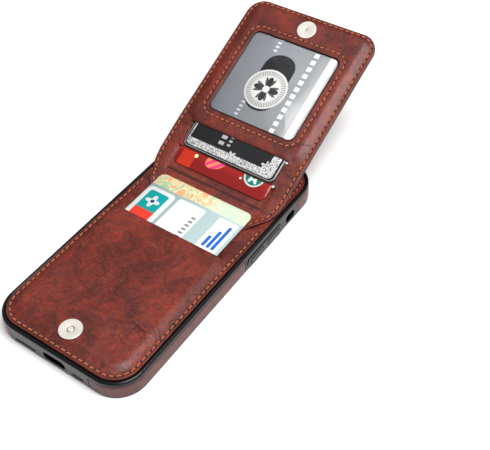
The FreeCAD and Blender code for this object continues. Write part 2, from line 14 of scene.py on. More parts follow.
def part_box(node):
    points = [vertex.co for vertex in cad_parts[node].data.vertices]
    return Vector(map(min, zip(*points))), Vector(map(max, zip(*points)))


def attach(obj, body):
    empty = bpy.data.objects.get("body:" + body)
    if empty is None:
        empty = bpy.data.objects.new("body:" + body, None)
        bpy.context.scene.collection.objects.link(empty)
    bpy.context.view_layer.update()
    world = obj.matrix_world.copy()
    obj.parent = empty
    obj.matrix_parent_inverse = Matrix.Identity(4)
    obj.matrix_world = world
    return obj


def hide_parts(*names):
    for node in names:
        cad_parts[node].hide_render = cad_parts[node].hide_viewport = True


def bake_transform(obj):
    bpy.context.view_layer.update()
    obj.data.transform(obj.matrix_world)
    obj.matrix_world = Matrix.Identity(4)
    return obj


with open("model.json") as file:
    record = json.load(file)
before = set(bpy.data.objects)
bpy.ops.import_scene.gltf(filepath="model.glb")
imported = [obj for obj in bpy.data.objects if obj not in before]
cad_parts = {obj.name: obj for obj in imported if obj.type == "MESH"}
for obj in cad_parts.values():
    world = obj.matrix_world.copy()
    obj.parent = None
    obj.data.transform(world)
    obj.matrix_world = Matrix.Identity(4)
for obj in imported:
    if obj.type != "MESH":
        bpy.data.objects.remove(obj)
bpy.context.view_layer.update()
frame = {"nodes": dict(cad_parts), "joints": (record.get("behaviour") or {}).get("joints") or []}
MM = 0.001

# ---------------------------------------------------------------- places, in millimetres


def node_box(node):
    """The lowest and highest corner of a CAD node, in millimetres."""
    low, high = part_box(node)
    return np.array(low) / MM, np.array(high) / MM


JOINTS = {joint["name"]: joint for joint in frame["joints"]}
HINGE = np.array(JOINTS["flap_hinge"]["pos_m"]) / MM
ALONG = np.array(JOINTS["outer_card_slide"]["axis"], float)
ALONG = ALONG / np.linalg.norm(ALONG)
OUT = np.array([0.0, -ALONG[2], ALONG[1]])

HALF_W, HALF_L, _ = node_box("tpu_bumper")[1]
CASE_CORNER = 14.3
RIM_LEVEL, RIM_ROUND = 9.4, 1.0
WALL = 1.75
PANEL_TOP = node_box("back_leather_panel")[1][2]
POCKET_TOP = node_box("pocket_front")[1][2]
POCKET_MOUTH = node_box("pocket_front")[1][1]
TAB_TOP = node_box("hinge_tab")[1][2]
FLAP_HALF = node_box("flap_outer_leather")[1][0]
FLAP_END = 106.0
FLAP_CORNER = 9.0


def on_flap(x, s, n):
    """Points in the flap: s from the hinge, n out of its inner face."""
    x, s, n = np.broadcast_arrays(x, s, n)
    return np.outer(x, (1, 0, 0)) + HINGE + np.outer(s, ALONG) + np.outer(n, OUT)


def on_case(x, y, z):
    """Points in the case's own frame."""
    return np.stack(np.broadcast_arrays(x, y, z), axis=-1).astype(float)


# ---------------------------------------------------------------- number helpers


def smooth(low, high, value):
    """0 below low, 1 above high, smooth between."""
    t = np.clip((value - low) / (high - low), 0, 1)
    return t * t * (3 - 2 * t)


def ripple(x, y, scale, seed):
    """Gentle noise between about -1 and 1 at each point."""
    return np.array([noise.noise((a / scale, b / scale, seed)) for a, b in zip(x, y)])


def round_over(distance, radius):
    """How far a surface drops towards an edge with a rounded corner."""
    gap = np.clip(radius - distance, 0, radius)
    return radius - np.sqrt(np.maximum(radius * radius - gap * gap, 0))


def unit(rows):
    """Each row at length 1."""
    return rows / np.maximum(np.linalg.norm(rows, axis=1), 1e-9)[:, None]


def left_of(rows):
    """Each (x, y) row turned a quarter anticlockwise."""
    return np.stack([-rows[:, 1], rows[:, 0]], axis=1)


def run_of(line):
    """The distance along a line at each of its points."""
    return np.concatenate([[0], np.cumsum(np.linalg.norm(np.diff(line, axis=0), axis=1))])


def flat_at(level):
    """A sheet's surface that is level."""
    return lambda x, y, edge: level + 0 * x


# ---------------------------------------------------------------- outlines


def rounded(x0, x1, y0, y1, radii, step=1.0):
    """A rectangle with its own corner radii, from the lower left one anticlockwise."""
    corners = [(x0, y0, 180), (x1, y0, 270), (x1, y1, 0), (x0, y1, 90)]
    inward = [(1, 1), (-1, 1), (-1, -1), (1, -1)]
    points = []
    for (x, y, start), (ix, iy), radius in zip(corners, inward, radii):
        if radius < 0.05:
            points.append((x, y))
            continue
        count = max(3, int(radius * math.pi / 2 / min(step, 0.8)))
        for angle in np.radians(np.linspace(start, start + 90, count + 1)):
            points.append((x + ix * radius + radius * math.cos(angle),
                           y + iy * radius + radius * math.sin(angle)))
    return fill_in(np.array(points), step)


def fill_in(loop, step, closed=True):
    """Adds points so that none are further apart than the step."""
    out = []
    last = len(loop) if closed else len(loop) - 1
    for i in range(last):
        a, b = loop[i], loop[(i + 1) % len(loop)]
        count = max(1, int(math.ceil(np.linalg.norm(b - a) / step)))
        out.extend(a + (b - a) * k / count for k in range(count))
    if not closed:
        out.append(loop[-1])
    return np.array(out)


def corner_arc(cx, cy, radius, start, end, count=12):
    """Points on an arc between two angles in degrees."""
    return [(cx + radius * math.cos(a), cy + radius * math.sin(a))
            for a in np.radians(np.linspace(start, end, count + 1))]


def inset(loop, amount):
    """The loop moved to its left, which is inwards for an anticlockwise loop."""
    ahead, behind = np.roll(loop, -1, 0) - loop, loop - np.roll(loop, 1, 0)
    return loop + amount * left_of(unit(unit(ahead) + unit(behind)))


def distance_to(points, loop, closed=True):
    """Each point's distance to a line through the loop's points."""
    a = loop if closed else loop[:-1]
    b = np.roll(loop, -1, 0) if closed else loop[1:]
    best = np.full(len(points), 1e9)
    step = b - a
    length = np.maximum((step ** 2).sum(1), 1e-12)
    for start in range(0, len(points), 2000):
        p = points[start:start + 2000, None, :] - a[None]
        t = np.clip((p * step).sum(2) / length, 0, 1)
        gap = p - t[..., None] * step
        best[start:start + 2000] = np.sqrt((gap ** 2).sum(2)).min(1)
    return best


def inside(points, loop):
    """Which points are inside a closed loop."""
    x, y = points[:, 0:1], points[:, 1:2]
    a, b = loop, np.roll(loop, -1, 0)
    above = (a[:, 1] > y) != (b[:, 1] > y)
    with np.errstate(divide="ignore", invalid="ignore"):
        cross = (b[:, 0] - a[:, 0]) * (y - a[:, 1]) / (b[:, 1] - a[:, 1]) + a[:, 0]
    return (above & (x < cross)).sum(1) % 2 == 1


# ---------------------------------------------------------------- meshes


def new_mesh(name, points, faces, material, flat=None, press_and_shade=None):
    """An object from points in millimetres. flat, and the darkening of pressed edges that is
    partly painted shade, are kept for its material.
    """
    mesh = bpy.data.meshes.new(name)
    mesh.from_pydata((np.asarray(points) * MM).tolist(), [], [list(f) for f in faces])
    mesh.validate()
    mesh.shade_smooth()
    item = bpy.data.objects.new(name, mesh)
    bpy.context.scene.collection.objects.link(item)
    item.data.materials.append(material)
    if flat is None:
        flat = np.asarray(points)
    layer = mesh.attributes.new("flat", "FLOAT_VECTOR", "POINT")
    layer.data.foreach_set("vector", np.asarray(flat, np.float32).ravel())
    if press_and_shade is not None:
        layer = mesh.attributes.new("press_and_shade", "FLOAT", "POINT")
        layer.data.foreach_set("value", np.asarray(press_and_shade, np.float32))
    return item


def fix_normals(item):
    """Turns a closed piece's faces outwards."""
    shape = bmesh.new()
    shape.from_mesh(item.data)
    bmesh.ops.recalc_face_normals(shape, faces=shape.faces)
    shape.to_mesh(item.data)
    shape.free()


# How dark the hidden face is, which darkens the walls towards it: partly real edge paint, partly
# painted shadow in the gap under each edge.
CUT_EDGE_AND_GAP_SHADE = 1.6


def triangulate(outline, holes=(), edges=(0.12, 0.35, 0.7, 1.3), spacing=1.3, lines=()):
    """Fills an outline with points and triangles, closer together near its edges."""
    loops = [outline, *holes]
    points = [p for loop in loops for p in loop]
    constraints = []
    start = 0
    for loop in loops:
        count = len(loop)
        constraints.extend((start + i, start + (i + 1) % count) for i in range(count))
        start += count
    extra = []
    for amount in edges:
        for number, loop in enumerate(loops):
            moved = inset(loop, amount if number == 0 else -amount)
            extra.append(moved)
    extra = np.concatenate(extra)
    gap = np.min([distance_to(extra, loop) for loop in loops], axis=0)
    extra = extra[gap > edges[0] * 0.8]
    low, high = outline.min(0), outline.max(0)
    x, y = np.meshgrid(np.arange(low[0], high[0], spacing),
                       np.arange(low[1], high[1], spacing * 0.87))
    x = x + (np.arange(len(y)) % 2)[:, None] * spacing / 2
    grid = np.stack([x.ravel(), y.ravel()], axis=1)
    beside = []
    for line in lines:
        grid = grid[distance_to(grid, line, closed=False) > 1.1]
        across = left_of(unit(np.gradient(line, axis=0)))
        beside.extend(line + across * offset for offset in (-0.8, -0.4, 0, 0.4, 0.8))
    grid = np.concatenate([grid, *beside])
    gap = np.min([distance_to(grid, loop) for loop in loops], axis=0)
    grid = grid[gap > edges[-1] + spacing * 0.4]
    free = np.concatenate([extra, grid])
    keep = inside(free, outline)
    for hole in holes:
        keep &= ~inside(free, hole)
    free = free[keep]
    vertices = [Vector(p) for p in points] + [Vector(p) for p in free]
    found = delaunay_2d_cdt(vertices, constraints, [], 0, 1e-5)
    flat = np.array([(v.x, v.y) for v in found[0]])
    faces = np.array([f for f in found[2] if len(f) == 3])
    middle = flat[faces].mean(1)
    wanted = inside(middle, outline)
    for hole in holes:
        wanted &= ~inside(middle, hole)
    faces = faces[wanted]
    a, b, c = (flat[faces[:, k]] for k in range(3))
    area = (b[:, 0] - a[:, 0]) * (c[:, 1] - a[:, 1]) - (b[:, 1] - a[:, 1]) * (c[:, 0] - a[:, 0])
    faces[area < 0] = faces[area < 0][:, ::-1]
    return flat, faces[np.abs(area) > 1e-7]


def close_sheet(count, faces):
    """Faces of a sheet with a top and an underside, and walls round its open edges."""
    directed = {}
    for f in faces:
        for i in range(3):
            directed[(f[i], f[(i + 1) % 3])] = True
    walls = [(b, a, a + count, b + count) for a, b in directed if (b, a) not in directed]
    under = [(c + count, b + count, a + count) for a, b, c in faces]
    return [tuple(f) for f in faces] + under + walls


def rings(size, count, closed=False, start=0):
    """Quads that join each ring of points to the next. start is the first point's number."""
    faces = []
    for i in range(count if closed else count - 1):
        a, b = start + i * size, start + (i + 1) % count * size
        faces += [(a + k, a + (k + 1) % size, b + (k + 1) % size, b + k) for k in range(size)]
    return faces


def caps(size, count, start=0):
    """Faces that close the first and the last ring."""
    last = start + (count - 1) * size
    return [tuple(start + k for k in reversed(range(size))), tuple(last + k for k in range(size))]


def sheet(name, outline, top, under, place, material, holes=(), seams=(), shift=0.0,
          hidden="under", **options):
    """A soft sheet between two surfaces. top and under give a height from x, y and the
    distance to the outline; seams are lines where the sheet is pressed down."""
    flat, faces = triangulate(outline, holes, lines=seams, **options)
    loops = [outline, *holes]
    edge = np.min([distance_to(flat, loop) for loop in loops], axis=0)
    x, y = flat.T
    high, low = top(x, y, edge), under(x, y, edge)
    # Darkens the leather near its edges: partly the real pressed and painted edge, partly painted
    # shade on the rounded edge.
    press_and_shade = 0.55 * (1 - smooth(0.0, 1.3, edge))
    for seam in seams:
        gap = distance_to(flat, seam, closed=False)
        high = high - 0.13 * np.exp(-((gap / 0.75) ** 2))
        # Darkens the leather along each seam: partly real pressing, partly painted shade in the
        # seam's groove.
        press_and_shade = np.maximum(press_and_shade, 0.75 * np.exp(-((gap / 1.1) ** 2)))
    low = np.minimum(low, high - 0.05)
    points = np.concatenate([place(x, y, high), place(x, y, low)])
    coordinates = np.concatenate([on_case(x, y, high) + (shift, shift, 0)] * 2)
    # The hidden face is darkened fully and the walls darken towards it: real edge paint plus
    # painted shadow in the gap under the edge.
    cut_edge_and_gap_shade = np.full(len(press_and_shade), CUT_EDGE_AND_GAP_SHADE)
    sides = [press_and_shade, cut_edge_and_gap_shade] if hidden == "under" else [cut_edge_and_gap_shade, press_and_shade]
    return new_mesh(name, points, close_sheet(len(flat), faces), material, coordinates,
                    np.concatenate(sides))


def lathe(name, profile, centre, axis, material, segments=64):
    """A round piece from (radius, height) points, about an axis through its centre."""
    axis = np.array(axis) / np.linalg.norm(axis)
    side = np.array([1.0, 0.0, 0.0])
    turn = np.arange(segments) * 2 * math.pi / segments
    spokes = np.outer(np.cos(turn), side) + np.outer(np.sin(turn), np.cross(axis, side))
    points = np.concatenate([centre + axis * height + radius * spokes
                             for radius, height in profile])
    faces = rings(segments, len(profile)) + caps(segments, len(profile))
    return new_mesh(name, points, faces, material)


# ---------------------------------------------------------------- stitching

STITCH_PITCH = 3.15
STITCH_LENGTH = 2.6
STITCH_RADIUS = 0.36
HOLE_RADIUS = 0.5
HOLE_SIDES = 10
random.seed(11)


def resample(line, step):
    """Points evenly spaced along an open line, and the direction at each."""
    line = np.asarray(line, float)
    run = run_of(line)
    count = max(1, int(round(run[-1] / step)))
    at = (np.arange(count) + 0.5) * run[-1] / count

    def point(distance):
        return np.stack([np.interp(distance, run, column) for column in line.T], axis=1)

    return point(at), unit(point(at + 0.3) - point(at - 0.3))


def stitches(name, lines, surface, place, thread, hole, sign=1.0):
    """Single stitches along lines on a surface, with a needle hole between each two; each hole is
    a flat dark disc of painted shade.
    """
    bodies, body_faces, coords = [], [], []
    holes, hole_faces = [], []
    sections, around = 7, 8

    def level_at(x, y):
        return float(surface(np.array([x]), np.array([y]))[0])

    for number, line in enumerate(lines):
        places, headings = resample(line, STITCH_PITCH)
        for index, ((x, y), (hx, hy)) in enumerate(zip(places, headings)):
            tilt = math.radians(7 + random.uniform(-3, 3))
            tx = hx * math.cos(tilt) - hy * math.sin(tilt)
            ty = hx * math.sin(tilt) + hy * math.cos(tilt)
            long = STITCH_LENGTH * random.uniform(0.94, 1.05)
            start = len(bodies)
            for i in range(sections):
                t = 2 * i / (sections - 1) - 1
                radius = STITCH_RADIUS * max(0.12, (1 - abs(t) ** 5) ** 0.5)
                arch = 0.16 - 0.34 * abs(t) ** 3
                cx, cy = x + tx * t * long / 2, y + ty * t * long / 2
                level = level_at(cx, cy)
                for k in range(around):
                    turn = 2 * math.pi * k / around
                    across, lift = radius * math.cos(turn), radius * 0.7 * math.sin(turn)
                    bodies.append((cx - ty * across, cy + tx * across,
                                   level + sign * (arch + lift)))
                    coords.append((t * long / 2, turn, index + number * 40.0))
            body_faces += rings(around, sections, start=start)
            body_faces += caps(around, sections, start)
            # The needle hole: a flat disc in the dark hole material, painted shade.
            gap = STITCH_PITCH / 2
            px, py = x + hx * gap, y + hy * gap
            level = level_at(px, py) + sign * 0.04
            start = len(holes)
            holes.append((px, py, level + sign * 0.01))
            for k in range(HOLE_SIDES):
                turn = 2 * math.pi * k / HOLE_SIDES
                across, along = HOLE_RADIUS * math.cos(turn), HOLE_RADIUS * math.sin(turn)
                holes.append((px - hy * across + hx * along, py + hx * across + hy * along, level))
            hole_faces += [(start, start + 1 + k, start + 1 + (k + 1) % HOLE_SIDES)
                           for k in range(HOLE_SIDES)]
    made = []
    for label, points, faces, material, extra in (
            (name, bodies, body_faces, thread, coords),
            (f"{name}_holes", holes, hole_faces, hole, None)):
        points = np.array(points)
        if sign < 0:
            faces = [tuple(reversed(f)) for f in faces]
        made.append(new_mesh(label, place(*points.T), faces, material, extra))
    return made


# ---------------------------------------------------------------- shader maths


class Graph:
    """A material's nodes, written as sums. A value is a socket or a number."""

    def __init__(self, name):
        self.material = bpy.data.materials.new(name)
        self.material.use_nodes = True
        self.tree = self.material.node_tree
        self.tree.nodes.clear()
        self.output = self.tree.nodes.new("ShaderNodeOutputMaterial")
        self.shader = self.tree.nodes.new("ShaderNodeBsdfPrincipled")
        self.tree.links.new(self.shader.outputs[0], self.output.inputs[0])
        self.place = self.node("ShaderNodeTexCoord", output="Object")

    def put(self, socket, value):
        if isinstance(value, Value):
            value = value.socket
        if isinstance(value, bpy.types.NodeSocket):
            self.tree.links.new(value, socket)
        elif value is not None:
            socket.default_value = value

    def node(self, kind, inputs=None, output=0, **settings):
        made = self.tree.nodes.new(kind)
        for key, value in settings.items():
            setattr(made, key, value)
        for key, value in (inputs or {}).items():
            self.put(made.inputs[key], value)
        return Value(self, made.outputs[output])

    def math(self, operation, *values):
        return self.node("ShaderNodeMath", dict(enumerate(values)), operation=operation)

    def attribute(self, name, output="Vector"):
        return self.node("ShaderNodeAttribute", output=output, attribute_name=name)

    def split(self, vector):
        made = self.tree.nodes.new("ShaderNodeSeparateXYZ")
        self.put(made.inputs[0], vector)
        return [Value(self, made.outputs[k]) for k in range(3)]

    def join(self, x, y, z):
        return self.node("ShaderNodeCombineXYZ", {0: x, 1: y, 2: z})

    def mix(self, amount, a, b):
        """Colour a where amount is 0 and b where it is 1."""
        made = self.tree.nodes.new("ShaderNodeMix")
        made.data_type = "RGBA"
        self.put(made.inputs[0], amount)
        self.put(made.inputs[6], a)
        self.put(made.inputs[7], b)
        return Value(self, made.outputs[2])

    def noise(self, vector, scale, detail=3.0, rough=0.5, distortion=0.0, output=0):
        return self.node("ShaderNodeTexNoise", {
            "Vector": vector, "Scale": scale, "Detail": detail, "Roughness": rough,
            "Distortion": distortion}, output=output)

    def step(self, low, high, value):
        """0 below low, 1 above high, smooth between."""
        return self.node("ShaderNodeMapRange", {
            "Value": value, "From Min": low, "From Max": high, "To Min": 0.0, "To Max": 1.0},
            interpolation_type="SMOOTHSTEP")

    def block(self, x, y, x0, x1, y0, y1, corner=0.3, soft=0.12):
        """1 inside a rounded rectangle, 0 outside."""
        qx = abs(x - (x0 + x1) / 2) - ((x1 - x0) / 2 - corner)
        qy = abs(y - (y0 + y1) / 2) - ((y1 - y0) / 2 - corner)
        outside = self.math("SQRT", self.math("POWER", self.math("MAXIMUM", qx, 0.0), 2.0)
                            + self.math("POWER", self.math("MAXIMUM", qy, 0.0), 2.0))
        inner = self.math("MINIMUM", self.math("MAXIMUM", qx, qy), 0.0)
        return 1.0 - self.step(corner - soft, corner + soft, outside + inner)

    def polar(self, x, y, cx, cy):
        """The distance and angle from a point."""
        dx, dy = x - cx, y - cy
        return self.math("SQRT", dx * dx + dy * dy), self.math("ARCTAN2", dy, dx)

    def disc(self, x, y, cx, cy, radius, soft=0.12):
        away, _ = self.polar(x, y, cx, cy)
        return 1.0 - self.step(radius - soft, radius + soft, away)

    def rosette(self, x, y, cx, cy, radius, depth, petals, turn=0.0, soft=0.15):
        """1 inside a flower or star outline."""
        away, angle = self.polar(x, y, cx, cy)
        edge = self.math("COSINE", angle * float(petals) + turn) * depth + radius
        return 1.0 - self.step(-soft, soft, away - edge)

    def bars(self, x, y, x0, x1, y0, y1, pitch, share):
        """A column of short plain bars between y0 and y1."""
        along = self.math("FLOORED_MODULO", y - y0, pitch)
        return self.block(x, along, x0, x1, pitch * (1 - share) / 2, pitch * (1 + share) / 2,
                          0.25) * self.block(x, y, x0 - 1, x1 + 1, y0, y1, 0.1)

    def bump(self, height, distance, strength=1.0, normal=None):
        return self.node("ShaderNodeBump", {
            "Height": height, "Distance": distance, "Strength": strength, "Normal": normal})

    def finish(self, **sockets):
        for key, value in sockets.items():
            self.put(self.shader.inputs[key.replace("_", " ")], value)
        return self.material


class Value:
    """A socket that can be added, multiplied and so on."""

    def __init__(self, graph, socket):
        self.graph = graph
        self.socket = socket

    def __add__(self, other):
        return self.graph.math("ADD", self, other)

    __radd__ = __add__

    def __sub__(self, other):
        return self.graph.math("SUBTRACT", self, other)

    def __rsub__(self, other):
        return self.graph.math("SUBTRACT", other, self)

    def __mul__(self, other):
        return self.graph.math("MULTIPLY", self, other)

    __rmul__ = __mul__

    def __abs__(self):
        return self.graph.math("ABSOLUTE", self)


def colour(red, green, blue):
    """A linear colour from screen values of 0 to 255."""
    return tuple(((v / 255 + 0.055) / 1.055) ** 2.4 if v > 10 else v / 255 / 12.92
                 for v in (red, green, blue)) + (1.0,)


# ---------------------------------------------------------------- materials


def leather(name, depth=0.0):
    """Waxed leather: mauve brown with orange-red and dark veins, wrinkles and a few long
    creases darkened as painted shade. depth darkens it all: a painted shade."""
    g = Graph(name)
    flat = g.attribute("flat")
    # The darkening of pressed edges and seams: partly real, partly painted shade.
    press_and_shade = g.attribute("press_and_shade", "Fac")
    clouds = g.noise(flat, 0.05, 5.0, 0.65, 0.6)
    fine = g.noise(flat, 1.3, 3.0, 0.65)
    wrinkles = g.noise(flat, 0.3, 6.0, 0.72, 1.2)
    fibres = g.noise(g.node("ShaderNodeVectorMath", {0: flat, 1: (0.5, 1.4, 1.0)},
                            operation="MULTIPLY"), 0.45, 5.0, 0.7, 1.5)
    patches = g.step(0.46, 0.62, g.noise(flat, 0.1, 8.0, 0.78, 0.8))
    dark = g.step(0.5, 0.64, g.noise(flat, 0.13, 8.0, 0.75, 1.6))
    red_veins = 1.0 - g.step(0.0, 0.035, abs(g.noise(flat, 0.15, 5.0, 0.6, 1.4) - 0.5))
    dark_veins = 1.0 - g.step(0.0, 0.03, abs(g.noise(flat, 0.2, 6.0, 0.66, 1.2) - 0.52))
    folds = g.noise(flat, 0.055, 2.5, 0.45, 1.3)
    elsewhere = g.node("ShaderNodeVectorMath", {0: flat, 1: (37.0, 11.0, 0.0)},
                       operation="ADD")
    patch = g.step(0.48, 0.58, g.noise(elsewhere, 0.035, 2.0))
    # The crease lines are darkened below as painted shade, and dent the bump.
    crease = (1.0 - g.step(0.0, 0.012, abs(folds - 0.5))) * patch
    second = (1.0 - g.step(0.0, 0.01, abs(folds - 0.54))) * patch
    base = g.mix(g.step(0.38, 0.62, clouds), colour(84, 30, 24), colour(112, 46, 38))
    for amount, tint in (
            (patches * 0.5, (144, 46, 25)), (dark * 0.45, (62, 24, 20)),
            (red_veins * g.step(0.4, 0.6, clouds) * 0.45, (168, 56, 28)),
            (dark_veins * 0.3, (52, 18, 15)), (g.step(0.5, 0.72, fibres) * 0.35, (160, 66, 42)),
            (g.step(0.5, 0.28, fibres) * 0.45, (56, 19, 15)),
            (g.step(0.35, 0.75, fine) * 0.25, (54, 18, 14)),
            # Painted shade: the crease lines, and the pressed edges and seams (partly real).
            ((crease + second * 0.6) * 0.6, (44, 15, 12)), (press_and_shade * 0.55, (50, 14, 8)),
            # Painted shade over the whole piece.
            (depth, (30, 8, 6))):
        base = g.mix(amount, base, colour(*tint))
    grain = g.node("ShaderNodeTexVoronoi", {"Vector": flat, "Scale": 1.9}, output=0,
                   feature="DISTANCE_TO_EDGE")
    height = (g.step(0.0, 0.22, grain) * 0.07 + wrinkles * 0.55 + fibres * 0.3
              + fine * 0.06 - crease * 0.3 - second * 0.18)
    rough = 0.3 + 0.16 * g.noise(flat, 0.5, 3.0, 0.6) + 0.08 * press_and_shade
    return g.finish(
        Base_Color=base, Roughness=rough, Normal=g.bump(height, MM * 0.7, 0.6),
        Specular_IOR_Level=0.35, Coat_Weight=0.1, Coat_Roughness=0.2,
    )


def plain(name, shades, cloud, fine, rough, dent, **extra):
    """A material from two noises: a cloud that shades it and a fine grain that dents it.
    dent is the grain's share, the cloud's share, the depth in millimetres and the strength."""
    g = Graph(name)
    cloud, fine = (g.noise(g.place, *settings) for settings in (cloud, fine))
    height = fine * dent[0] + cloud * dent[1]
    return g.finish(Base_Color=g.mix(cloud, *shades), Roughness=rough[0] + rough[1] * cloud,
                    Normal=g.bump(height, MM * dent[2], dent[3]), **extra)


def thread(name):
    """Waxed orange-brown thread with a visible twist, its grooves darkened as painted shade."""
    g = Graph(name)
    along, turn, index = g.split(g.attribute("flat"))
    twist = g.math("SINE", along * 9.0 + turn * 2.0)
    varied = g.noise(g.join(index, along * 0.2, 0.0), 0.9, 1.0)
    base = g.mix(g.step(0.3, 0.7, varied), colour(216, 108, 24), colour(170, 74, 22))
    # Painted shade: darker where the twist's bump is low, in its grooves.
    base = g.mix(g.step(-0.2, -0.9, twist) * 0.5, base, colour(120, 48, 22))
    return g.finish(
        Base_Color=base, Roughness=0.5 + 0.1 * twist, Normal=g.bump(twist, MM * 0.12, 0.8),
        Sheen_Weight=0.25,
    )


def painted_hole_shade(name):
    """Painted shade: the dark inside of a needle hole, or of a snap's groove."""
    g = Graph(name)
    shade = g.mix(g.noise(g.place, 900.0), colour(14, 5, 4), colour(30, 11, 8))
    return g.finish(Base_Color=shade, Roughness=0.85)


def microfibre(name):
    """Short dark pile."""
    g = Graph(name)
    pile = g.noise(g.place, 4200.0, 3.0, 0.7)
    brush = g.noise(g.place, 70.0, 3.0, 0.6, 1.0)
    base = g.mix(pile * 0.5 + brush * 0.5, colour(30, 27, 27), colour(68, 62, 60))
    return g.finish(Base_Color=base, Roughness=0.95, Normal=g.bump(pile, MM * 0.12, 0.8),
                    Sheen_Weight=0.4, Sheen_Roughness=0.5)


def satin_plastic(name, *shade):
    """Moulded plastic with a dull shine, in a screen colour and a paler one."""
    dark = colour(*shade)
    pale = tuple(c * 1.35 for c in dark[:3]) + (1.0,)
    return plain(name, (dark, pale), (60.0, 2.0, 0.5), (3000.0, 2.0, 0.6), (0.4, 0.15),
                 (1.0, 0.0, 0.03, 0.5))


def clear_film(name):
    """Clear soft film with slow waves."""
    g = Graph(name)
    wave = g.noise(g.place, 55.0, 2.0, 0.5)
    return g.finish(
        Base_Color=(1, 1, 1, 1), Roughness=0.04 + 0.06 * wave, Transmission_Weight=1.0, IOR=1.12,
        Normal=g.bump(wave, MM * 0.5, 0.25), Specular_IOR_Level=0.15,
    )


def card_face(name, paint):
    """Printed plastic with a thin clear layer. paint(g, x, y) gives the print's colour."""
    g = Graph(name)
    flat = g.attribute("flat")
    x, y, _ = g.split(flat)
    shade = paint(g, x, y)
    speckle = g.noise(flat, 6.0, 2.0, 0.6)
    wave = g.noise(flat, 0.06, 2.0, 0.5)
    return g.finish(
        Base_Color=g.mix(speckle * 0.06, shade, colour(40, 40, 40)), Roughness=0.15 + 0.08 * wave,
        Normal=g.bump(wave + speckle * 0.02, MM * 0.15, 0.3), Coat_Weight=0.2,
        Coat_Roughness=0.1, Specular_IOR_Level=0.25,
    )


LEATHER = leather("brown_leather")
# A darker copy of the leather for the strips on the side walls: painted shade for faces that get
# less light.
SHADED_STRIP_LEATHER = leather("strip_leather_painted_shade", 0.35)
RUBBER = plain("black_rubber", (colour(5, 6, 7), colour(11, 12, 14)), (90.0, 3.0, 0.5),
               (2500.0, 2.0, 0.6), (0.2, 0.1), (0.3, 1.0, 0.05, 0.5), Specular_IOR_Level=0.32)
THREAD = thread("orange_thread")
# Painted shade for the needle holes and the snaps' grooves.
HOLE_SHADE = painted_hole_shade("needle_hole_shade")
METAL = plain("nickel_snap", (colour(222, 216, 206), colour(238, 233, 224)),
              (300.0, 3.0, 0.6), (3500.0, 2.0, 0.7, 1.0), (0.3, 0.16), (1.0, 0.0, 0.01, 0.4),
              Metallic=0.45)
LINING = microfibre("grey_microfibre")
PLATE = satin_plastic("plate_plastic", 26, 26, 28)
FILM = clear_film("window_film")
PALE = satin_plastic("pale_plastic", 176, 196, 196)

# ---------------------------------------------------------------- the flap's levels

CREASE_N = -2.6
CREASE_S = (TAB_TOP - HINGE[2] - CREASE_N * OUT[2]) / ALONG[2]
CREASE_Y = HINGE[1] + CREASE_S * ALONG[1] + CREASE_N * OUT[1]
CREASE_BEND = 1.9
SLIT_HALF = 27.7
LOW_SLIT = (14.75, 15.45)
HIGH_SLIT = (28.55, 29.35)
PADDED_HALF = FLAP_HALF - 2.4
EDGE_N = -1.65
SEAM_N = -2.75
BACK_EDGE_N = -3.95
BACK_N = -3.82
POCKET_UNDER, POCKET_OUT = -4.66, -5.11
DIVIDER_N = -1.9
THICK = 0.42
BACK_SIDE = 28.2
VEE_SIDE, VEE_TIP = 34.7, 42.8
STITCH_IN = 1.85
WINDOW = (-25.0, 25.0, 38.6, 87.8)
WINDOW_CORNER = 3.5
OUTER_MOUTH = 17.5


def tab_lift(x, s):
    """How far the tab's ends stand off the case beside the card."""
    return 1.5 * smooth(26.8, 31.0, np.abs(x)) * (1 - smooth(-5.0, 1.0, s))


def over_crease(x, s, n):
    """Points on the leather that runs up from the tab on the case, over the crease and
    along the flap. s and n are the flap's, carried on over the crease."""
    x, s, n = np.broadcast_arrays(x, s, n)
    n = n + tab_lift(x, s)
    run = s - CREASE_S
    t = np.clip((run + CREASE_BEND) / (2 * CREASE_BEND), 0, 1)
    before, after = np.array([-CREASE_BEND, 0.0]), CREASE_BEND * ALONG[1:]
    curve = np.outer((1 - t) ** 2, before) + np.outer(t ** 2, after)
    tangent = unit(np.outer(1 - t, -before) + np.outer(t, after))
    beyond = run - np.clip(run, -CREASE_BEND, CREASE_BEND)
    curve = curve + beyond[:, None] * tangent
    point = curve + (n - CREASE_N)[:, None] * left_of(tangent)
    return np.stack([x, CREASE_Y + point[:, 0], TAB_TOP + point[:, 1]], axis=1)


def box_distance(x, y, half, low, high, radius):
    """How far inside a rounded rectangle each point is; negative outside."""
    middle, reach = (low + high) / 2, (high - low) / 2
    qx = np.abs(x) - (half - radius)
    qy = np.abs(y - middle) - (reach - radius)
    outside = np.hypot(np.maximum(qx, 0), np.maximum(qy, 0))
    return radius - outside - np.minimum(np.maximum(qx, qy), 0)


def rim_distance(x, s):
    """Distance from the flap's edge, which has no lower end here."""
    return box_distance(x, s, FLAP_HALF, -300.0, FLAP_END, FLAP_CORNER)


